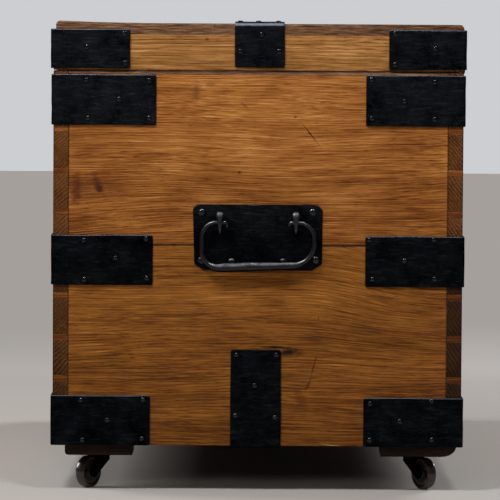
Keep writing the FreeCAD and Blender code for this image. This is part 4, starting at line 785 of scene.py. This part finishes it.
# Iron straps. On the right end each strap has its own reach and edges: (leg, low, high).
UP = np.array([0.0, 0.0, 1.0])
ALONG_Y = np.array([0.0, 1.0, 0.0])
RIGHT_END_STRAPS = {
    "front_right": ((115.1, 54.2, 113.4), (117.7, 244.1, 303.2), (121.0, 432.9, 492.2)),
    "back_right": ((115.5, 54.0, 112.2), (114.6, 243.6, 303.2), (114.9, 433.0, 493.0)),
}
RIGHT_LID_STRAPS = {"front_right": (90.0, 499.5, 545.6), "back_right": (88.2, 499.5, 546.3)}
BOTTOM_CENTRE_EDGES = (-31.4, 28.2)
LID_CENTRE_EDGES = (-28.3, 30.4)
BEND = 0.6
LID_BEND = 3.4
variety = np.random.default_rng(7)


def corner_path(toward_x, toward_y, end_leg, side_leg):
    """Path round an upright corner, from the side's free end to the end's."""
    corner = np.array([END_FACE * toward_x, SIDE_FACE * toward_y, 0.0])
    start = corner - [side_leg * toward_x, 0, 0]
    end = corner - [0, end_leg * toward_y, 0]
    return around_corner(start, corner, end, BEND)


for number, (corner, (toward_x, toward_y)) in enumerate(CORNERS.items()):
    rows = []
    for row in range(3):
        if corner in RIGHT_END_STRAPS:
            leg, low, high = RIGHT_END_STRAPS[corner][row]
        else:
            leg = STRAP_LEG + variety.uniform(-3, 1)
            low = STRAP_LOW + STRAP_PITCH * row
            high = low + STRAP_WIDTH
        path = corner_path(toward_x, toward_y, leg, STRAP_LEG + variety.uniform(-3, 1))
        rows.append(strap(path, UP, low, high, 100 * number + 10 * row, corner=2.0))
    make(f"{corner}_forged_straps", joined(rows), strap_iron, "chest", "strap_iron",
         f"{corner}_corner_straps")

lid_straps = []
for number, (corner, (toward_x, toward_y)) in enumerate(CORNERS.items()):
    usual = (LID_STRAP_LEG, LID_STRAP_LOW, LID_STRAP_LOW + LID_STRAP_HEIGHT)
    leg, low, high = RIGHT_LID_STRAPS.get(corner, usual)
    path = corner_path(toward_x, toward_y, leg, LID_STRAP_LEG)
    lid_straps.append(strap(path, UP, low, high, 500 + 10 * number, corner=2.0, thickness=LID_IRON))
make("lid_corner_forged_straps", joined(lid_straps), strap_iron, "lid", "strap_iron", "lid_corner_straps")

bottom_straps, top_straps = [], []
for toward in LEFT_RIGHT:
    inwards = np.array([-STRAP_LEG * toward, 0.0, 0.0])
    foot = np.array([END_FACE * toward, 0.0, BODY_LOW])
    path = around_corner(foot + inwards, foot, foot + UP * (CENTRE_HIGH - BODY_LOW), BEND)
    bottom_straps.append(strap(path, ALONG_Y, *BOTTOM_CENTRE_EDGES, 600 + toward, corner=2.0))
    head = np.array([END_FACE * toward, 0.0, LID_HIGH])
    path = around_corner(head + inwards, head, head - UP * (LID_HIGH - LID_CENTRE_LOW), LID_BEND)
    top_straps.append(strap(path, ALONG_Y, *LID_CENTRE_EDGES, 610 + toward, corner=2.0))
make("bottom_centre_forged_straps", joined(bottom_straps), strap_iron, "chest", "strap_iron",
     "bottom_centre_straps")
make("lid_centre_forged_straps", joined(top_straps), strap_iron, "lid", "strap_iron", "lid_centre_straps")

# Nails. On the right end each stands where it was driven: (y, z), or (y, z, thickness of its iron).
RIGHT_END_NAILS = (
    (-203.1, 485.6), (-128.9, 485.2), (-164.5, 463.3), (-201.0, 440.9), (-128.7, 441.0),
    (133.1, 487.7), (207.0, 485.3), (171.4, 462.6), (133.4, 442.2), (207.3, 441.5),
    (-205.2, 297.0), (-131.8, 298.9), (-168.0, 275.9), (-204.7, 250.5), (-130.6, 252.2),
    (131.4, 299.1), (207.6, 299.6), (173.0, 274.7), (135.5, 252.5), (208.9, 253.3),
    (-208.3, 107.7), (-134.7, 108.2), (-176.7, 84.3), (-206.2, 60.3), (-135.8, 62.5),
    (133.8, 105.0), (206.4, 108.7), (168.9, 84.5), (133.2, 61.9), (206.8, 62.8),
    (-24.6, 162.1), (22.5, 162.4), (-2.6, 126.0), (-25.1, 90.3), (21.6, 88.3))
RIGHT_LID_NAILS = (
    (-202.3, 524.5, LID_IRON), (-158.2, 540.6, LID_IRON), (-157.1, 505.9, LID_IRON), (160.4, 542.0, LID_IRON),
    (207.6, 524.7, LID_IRON), (159.8, 505.6, LID_IRON), (-21.8, 520.2), (24.2, 520.4), (3.3, 540.1))
PLATE_NAILS = ((-66.2, 330.4), (64.3, 331.2), (68.5, 274.9), (-30.8, 272.1), (29.8, 272.5), (-66.6, 273.8))


def nail_pattern(aside, first, middle, *last):
    """Nails of a strap, (along, across): a pair, one in the middle and, on a long strap, another pair."""
    pairs = [[(along, -aside), (along, aside)] for along in (first, *last)]
    return [*pairs[0], (middle, 0.0), *sum(pairs[1:], [])]


STRAP_SPOTS = nail_pattern(22.5, 110.0, 74.0, 38.0)
LID_STRAP_SPOTS = nail_pattern(16.5, 85.5, 48.5)
CENTRE_SPOTS = nail_pattern(22.5, 7.0, 43.0, 79.0)
LID_CENTRE_SPOTS = nail_pattern(22.5, 18.0, 36.0)
HINGE_BODY_SPOTS = nail_pattern(22.5, 8.0, 44.0, 80.0)
HINGE_LID_SPOTS = nail_pattern(22.5, 7.0, 24.0)
ON_END = END_FACE + IRON
ON_SIDE = SIDE_FACE + IRON
ON_LID_END = END_FACE + LID_IRON
ON_LID_SIDE = SIDE_FACE + LID_IRON
ON_HINGE = SIDE_FACE + HINGE_IRON

# Each nail: its place, and the way that its head points
body_nails, lid_nails = [], []
for toward_x, toward_y in CORNERS.values():
    for row in range(3):
        middle = STRAP_LOW + STRAP_WIDTH / 2 + STRAP_PITCH * row
        for along, across in STRAP_SPOTS:
            x, y, z = (END_FACE - along) * toward_x, (SIDE_FACE - along) * toward_y, middle + across
            body_nails.append((x, ON_SIDE * toward_y, z, 0, toward_y, 0))
            if toward_x < 0:
                body_nails.append((-ON_END, y, z, -1, 0, 0))
    for along, across in LID_STRAP_SPOTS:
        x, y = (END_FACE - along) * toward_x, (SIDE_FACE - along) * toward_y
        z = LID_STRAP_LOW + LID_STRAP_HEIGHT / 2 + across
        lid_nails.append((x, ON_LID_SIDE * toward_y, z, 0, toward_y, 0))
        if toward_x < 0:
            lid_nails.append((-ON_LID_END, y, z, -1, 0, 0))
for toward in LEFT_RIGHT:
    for along, across in CENTRE_SPOTS:
        x = (END_FACE - STRAP_LEG + along) * toward
        if toward < 0:
            body_nails.append((-ON_END, across, CENTRE_HIGH - along, -1, 0, 0))
        body_nails.append((x, across, BODY_LOW - IRON, 0, 0, -1))
        lid_nails.append((x, across, LID_HIGH + IRON, 0, 0, 1))
    for along, across in HINGE_BODY_SPOTS:
        body_nails.append((HINGE_MIDDLE * toward + across, ON_HINGE, HINGE_FOOT + along, 0, 1, 0))
    for along, across in HINGE_LID_SPOTS:
        lid_nails.append((HINGE_MIDDLE * toward + across, ON_HINGE, HINGE_HEAD - along, 0, 1, 0))
    if toward < 0:
        for along, across in LID_CENTRE_SPOTS:
            lid_nails.append((-ON_END, across, LID_CENTRE_LOW + along, -1, 0, 0))


def driven(spots, placed, seed):
    """Places and directions of nails: the pattern's spots stray up to 0.8 mm; the placed ones, (y, z) or
    (y, z, on what iron) on the right end, don't."""
    spots = np.array(spots, float)
    stray = np.random.default_rng(seed).uniform(-0.8, 0.8, (len(spots), 3))
    spots[:, :3] += stray * (np.abs(spots[:, 3:]) < 0.5)
    right = np.array([(END_FACE + (under or [IRON])[0], y, z, 1, 0, 0) for y, z, *under in placed], float)
    every = np.concatenate([spots, right])
    return every[:, :3], every[:, 3:]


NAIL_RADIUS = 3.4
NAIL_DOME = 1.9
LID_NAIL_DOME = 1.6
PLATE_NAIL_RADIUS = 4.5
make("driven_body_nails", domes(*driven(body_nails, RIGHT_END_NAILS, 11), NAIL_RADIUS, NAIL_DOME, 21),
     nail_iron, "chest", "nail_iron", "body_nails")
make("driven_lid_nails", domes(*driven(lid_nails, RIGHT_LID_NAILS, 12), NAIL_RADIUS, LID_NAIL_DOME, 22),
     nail_iron, "lid", "nail_iron", "lid_nails")
on_plate = END_FACE + PLATE_IRON
plate_spots = [(on_plate * toward, y * toward, z) for toward in LEFT_RIGHT for y, z in PLATE_NAILS]
plate_ways = [(toward, 0, 0) for toward in LEFT_RIGHT for _ in PLATE_NAILS]
make("driven_handle_nails", domes(plate_spots, plate_ways, PLATE_NAIL_RADIUS, NAIL_DOME, 23),
     handle_iron, "chest", "nail_iron", "handle_nails")

# Handles
PLATE_CORNERS = np.array([
    (-76.6, 334.9), (-72.0, 339.9), (70.8, 339.9), (76.2, 334.2), (75.8, 270.2), (63.6, 262.5),
    (-64.2, 262.5), (-74.8, 269.8)])
plate_outline = outline_through(PLATE_CORNERS, 1.2, 1)
PLATE_LEVELS = [(1.0, -0.2), (1.0, 1.3), (0.9975, 1.85), (0.991, 2.15)] + [
    (share, 2.2) for share in (0.97, 0.93, 0.88, 0.82, 0.75, 0.67, 0.58, 0.48, 0.38, 0.28, 0.18, 0.08, 0.01)]


def eye_post(toward, side):
    """Forged eye that holds the bail. Round the bail's axis the iron lies between the bore and an outer
    profile, tall above and below; seen from the front it has a broad head, narrows at the bar and is
    drawn to a blunt point below. A riveted shank goes on through the board."""
    turn = circle(72)
    tall = np.where(np.sin(turn) > 0, 13.8, 14.2)
    power = 2.7
    oval = (np.abs(np.cos(turn) / 6.7) ** power + np.abs(np.sin(turn) / tall) ** power) ** (-1 / power)
    root = 9.2 / np.maximum(-np.cos(turn), 1e-6)
    reach = np.where(np.cos(turn) < 0, np.minimum(oval, root), oval)
    bore = 3.15
    height = reach * np.sin(turn)
    known = (-14.2, -12.0, -7.0, -2.0, 2.0, 5.0, 7.5, 12.0, 13.8)
    half = np.interp(height, known, (0.6, 1.3, 1.9, 2.3, 2.5, 3.0, 4.0, 4.7, 4.0))
    section = np.array([(0.0, -1.0), (0.0, 0.0), (0.0, 1.0), (0.6, 1.0), (0.8, 0.96), (0.91, 0.84),
                        (0.97, 0.5), (1.0, 0.0), (0.97, -0.5), (0.91, -0.84), (0.8, -0.96), (0.6, -1.0)])
    out = bore + (reach - bore)[:, None] * section[None, :, 0]
    wide = half[:, None] * section[None, :, 1]
    x = toward * (BAIL_LINE + out * np.cos(turn)[:, None])
    z = BAIL_LEVEL + out * np.sin(turn)[:, None]
    grid = np.stack([x, side + wide, z], -1)
    return grid.reshape(-1, 3), ring_faces(len(turn), len(section), rows_close=True)


def rivet(toward, side):
    """Shank through the board with its hammered head on the washer inside."""
    inside = END_FACE - BOARD
    outside = END_FACE + 3.0
    levels = np.array([(outside, 0.4), (outside, 3.3), (inside - 1.5, 3.3), (inside - 1.5, 5.2),
                       (inside - 2.6, 4.7), (inside - 3.2, 3.0), (inside - 3.2, 0.4)])
    turn = circle(24)
    grid = np.stack([toward * levels[:, :1] + 0 * turn, side + levels[:, 1:] * np.cos(turn),
                     BAIL_LEVEL + levels[:, 1:] * np.sin(turn)], -1)
    return capped(grid, len(levels), len(turn))


def bail(toward):
    """Forged bail: a bar of changing thickness along its bent route, hanging a little askew. It is
    thickest at the grip, where its round section is flattened into four facets, and its ends are drawn
    out and curled down inside the eyes."""
    route = [(-38.4, -5.6), (-36.2, -4.4), (-36.6, 0.0), (-65.8, 0.4), (-66.2, -54.0), (66.6, -49.4),
             (66.6, 0.2), (37.4, 0.0), (37.0, -3.0), (38.6, -4.6)]
    line, walked = bent_route(route, (1.4, 2.0, 17.5, 20.0, 27.0, 19.0, 1.4, 1.2), 1.5)
    length = walked[-1]
    level = -line[:, 1] / 52.0
    beside = np.clip((np.abs(line[:, 0]) - 38.0) / 26.0, 0, 1)
    grip = np.clip((level - 0.8) / 0.2, 0, 1) ** 2 * (1 - beside ** 1.6)
    arm = np.clip(level / 0.35, 0, 1)
    end = np.minimum(walked, length - walked)
    taper = 0.55 + 0.45 * np.clip(end / 9.0, 0, 1)
    taper = taper * np.sqrt(np.clip(1 - (1 - np.clip(end / 1.4, 0, 1)) ** 2, 0.04, 1))
    tall = (2.6 + 0.55 * arm + 1.75 * grip) * taper
    deep = (2.6 + 0.5 * arm + 1.1 * grip) * taper
    ahead = np.gradient(line, axis=0)
    ahead /= np.linalg.norm(ahead, axis=1)[:, None]
    side = np.stack([-ahead[:, 1], ahead[:, 0]], -1)
    turn = circle(20)
    along = walked[:, None] + 0 * turn
    relief = 1 + dents(along, turn * 6 + 0 * along, 31, depth=0.02, length=12)
    facet = turn + math.radians(27.0)
    power = 2 + 1.4 * grip[:, None]
    relief = relief * (np.abs(np.cos(facet)) ** power + np.abs(np.sin(facet)) ** power) ** (-1 / power)
    across = np.cos(turn) * tall[:, None] * relief
    out = np.sin(turn) * deep[:, None] * relief
    y = toward * (line[:, :1] + side[:, :1] * across)
    z = BAIL_LEVEL + line[:, 1:] + side[:, 1:] * across
    grid = np.stack([toward * (BAIL_LINE + out), y, z], -1)
    return capped(grid, len(line), len(turn))


for side_name, toward in (("right", 1), ("left", -1)):
    outline = plate_outline * [toward, 1]
    make(f"{side_name}_forged_plate", sheet(outline, PLATE_LEVELS, toward, 41), plate_iron, "chest",
         "strap_iron", f"{side_name}_handle_plate")
    posts = joined([eye_post(toward, -POST_SIDE), eye_post(toward, POST_SIDE),
                    rivet(toward, -POST_SIDE), rivet(toward, POST_SIDE)])
    make(f"{side_name}_forged_eyes", posts, eye_iron, "chest", "handle_iron", f"{side_name}_handle_posts")
    make(f"{side_name}_forged_bail", bail(toward), handle_iron, f"{side_name}_bail", "handle_iron",
         f"{side_name}_handle_bail")
eased("handle_washers", handle_iron, 0.3)

# Hinges and lock
for side in ("left", "right"):
    eased(f"{side}_hinge_body_leaf", hinge_iron, 0.5)
    eased(f"{side}_hinge_lid_leaf", hinge_iron, 0.5)
for node, metal, width in (
        ("hinge_pins", hinge_iron, 0.3), ("keyhole_escutcheon", hinge_iron, 0.4),
        ("escutcheon_pins", nail_iron, 0.15), ("lock_case", lock_iron, 0.4), ("lock_bolt", lock_iron, 0.4),
        ("link_plate", lock_iron, 0.4)):
    eased(node, metal, width)

# Casters
eased("caster_plates", caster_bronze, 0.35)
eased("caster_screws", nail_iron, 0.2)
# Half of the turned wheel, from the bore over the hub, a groove and the tread to its middle: (aside, out)
WHEEL_HALF = ((6.3, 2.6), (6.3, 6.0), (5.9, 6.8), (4.6, 7.2), (4.4, 8.0), (4.4, 13.6), (4.7, 14.6),
              (5.7, 15.2), (6.0, 15.9), (5.9, 17.2), (5.1, 18.3), (3.4, 18.85), (0.0, 19.0))
WHEEL_PROFILE = [(-aside, out) for aside, out in WHEEL_HALF] + list(WHEEL_HALF[-2::-1])
for joint in frame["joints"]:
    if joint["name"].endswith("_wheel_spin"):
        corner = joint["name"].removesuffix("_wheel_spin")
        centre = np.array(joint["pos_m"]) / MM
        make(f"{corner}_turned_wheel", turned(WHEEL_PROFILE, centre, joint["axis"]), wheel_wood,
             f"{corner}_wheel", "caster_wheel", f"{corner}_caster_wheel")
for corner in CORNERS:
    eased(f"{corner}_caster_fork", caster_bronze, 0.6)
    eased(f"{corner}_caster_axle", caster_bronze, 0.4)


# Floor, lights and camera

def pale_floor():
    """Matt painted floor. Near the chest it is lit and takes the shadow. From 0.75 m to 2.6 m out, what the
    camera sees goes over to an even tone, so that the lamps leave no pools of light."""
    material, node, shader = new_material("pale_floor")
    fill(shader, {"Base Color": linear("a5a09b"), "Roughness": 0.8, "Specular IOR Level": 0.2})
    distance = node("VectorMath length", node("TexCoord", out="Object"))
    share = node("MapRange", distance, 0.75, 2.6, interpolation_type="SMOOTHSTEP")
    share = node("Math multiply", share, node("LightPath", out="Is Camera Ray"))
    even_tone = node("Emission", linear("a49f9a"), 1.0)
    surface = next(end for end in material.node_tree.nodes if end.type == "OUTPUT_MATERIAL")
    fill(surface, {"Surface": node("MixShader", share, shader.outputs[0], even_tone)})
    return material


FLOOR_RADIUS = 10.5
FLOOR_CORNERS = 96
turn = circle(FLOOR_CORNERS)
floor_points = np.stack([FLOOR_RADIUS * np.cos(turn), FLOOR_RADIUS * np.sin(turn), 0 * turn], -1)
floor_mesh = bpy.data.meshes.new("studio_floor")
floor_mesh.from_pydata(floor_points.tolist(), [], [list(range(FLOOR_CORNERS))])
floor_mesh.materials.append(pale_floor())
in_scene("studio_floor", floor_mesh)

# Backdrop: what the camera sees is an even pale grey, what lights the chest is a dim cool fill
world = bpy.data.worlds.new("studio_world")
bpy.context.scene.world = world
world.use_nodes = True
world.node_tree.nodes.clear()
sky = partial(add, world.node_tree)
ray = sky("LightPath").node.outputs
direct = sky("Math maximum", ray["Is Camera Ray"], ray["Is Transmission Ray"])
soft_fill = sky("Background", linear("e9ecf0"), 0.13)
seen_grey = sky("Background", linear("cdced1"), 1.0)
sky("OutputWorld", sky("MixShader", direct, soft_fill, seen_grey))


def turned_frame(side, up, back, place):
    """The matrix that turns an object's X, Y and Z to three directions and sets it at a place."""
    return Matrix([(side[i], up[i], back[i], place[i]) for i in range(3)] + [(0, 0, 0, 1)])


def soft_light(name, place, target, size, power, sheen=True):
    """Soft box aimed at a point, hidden from the camera. Without sheen it only evens the light and shows in
    no polished surface."""
    lamp = bpy.data.lights.new(name, "AREA")
    lamp.shape = "RECTANGLE"
    lamp.size, lamp.size_y = size
    lamp.energy = power
    thing = in_scene(name, lamp)
    thing.visible_camera = False
    thing.visible_glossy = sheen
    away = np.array(place, float) - np.array(target, float)
    back = away / np.linalg.norm(away)
    side = np.cross([0, 0, 1.0], back)
    side /= np.linalg.norm(side)
    up = np.cross(back, side)
    thing.matrix_world = turned_frame(side, up, back, place)


# Two lamps over the end, one low lamp that only evens its light, and one each for the front and the back
soft_light("key_over_end", (1.6, -0.85, 2.15), (0.45, 0, 0.4), (0.5, 0.5), 41)
soft_light("second_over_end", (1.6, 0.55, 2.2), (0.45, 0, 0.4), (0.4, 0.4), 20)
soft_light("low_over_end", (4.6, -0.8, 1.7), (0.45, 0, 0.2), (1.4, 0.9), 32, sheen=False)
soft_light("front_fill", (-0.7, -3.2, 1.6), (-0.1, -0.1, 0.3), (1.2, 1.2), 95)
soft_light("back_fill", (-2.6, 2.2, 1.7), (-0.2, 0.1, 0.3), (1.2, 1.2), 110)

# The camera looks at the right end, a little down and turned a third of a degree
CAMERA_PLACE = (5.1034, -0.0102, 0.5393)
CAMERA_YAW = math.radians(0.0131)
CAMERA_PITCH = math.radians(3.112)
CAMERA_ROLL = math.radians(0.348)
CAMERA_LENS = 284.5
SENSOR = 36.0
FARTHEST_SEEN = 60.0
ahead = np.array([-math.cos(CAMERA_YAW) * math.cos(CAMERA_PITCH),
                  math.sin(CAMERA_YAW) * math.cos(CAMERA_PITCH), -math.sin(CAMERA_PITCH)])
level_side = np.cross(ahead, [0, 0, 1.0])
level_side /= np.linalg.norm(level_side)
level_up = np.cross(level_side, ahead)
side = level_side * math.cos(CAMERA_ROLL) + level_up * math.sin(CAMERA_ROLL)
up = -level_side * math.sin(CAMERA_ROLL) + level_up * math.cos(CAMERA_ROLL)
lens = bpy.data.cameras.new("end_view")
lens.lens = CAMERA_LENS
lens.sensor_width = SENSOR
lens.clip_end = FARTHEST_SEEN
camera = in_scene("end_view", lens)
camera.matrix_world = turned_frame(side, up, -ahead, CAMERA_PLACE)
bpy.context.scene.camera = camera
bpy.context.scene.view_settings.view_transform = "Standard"
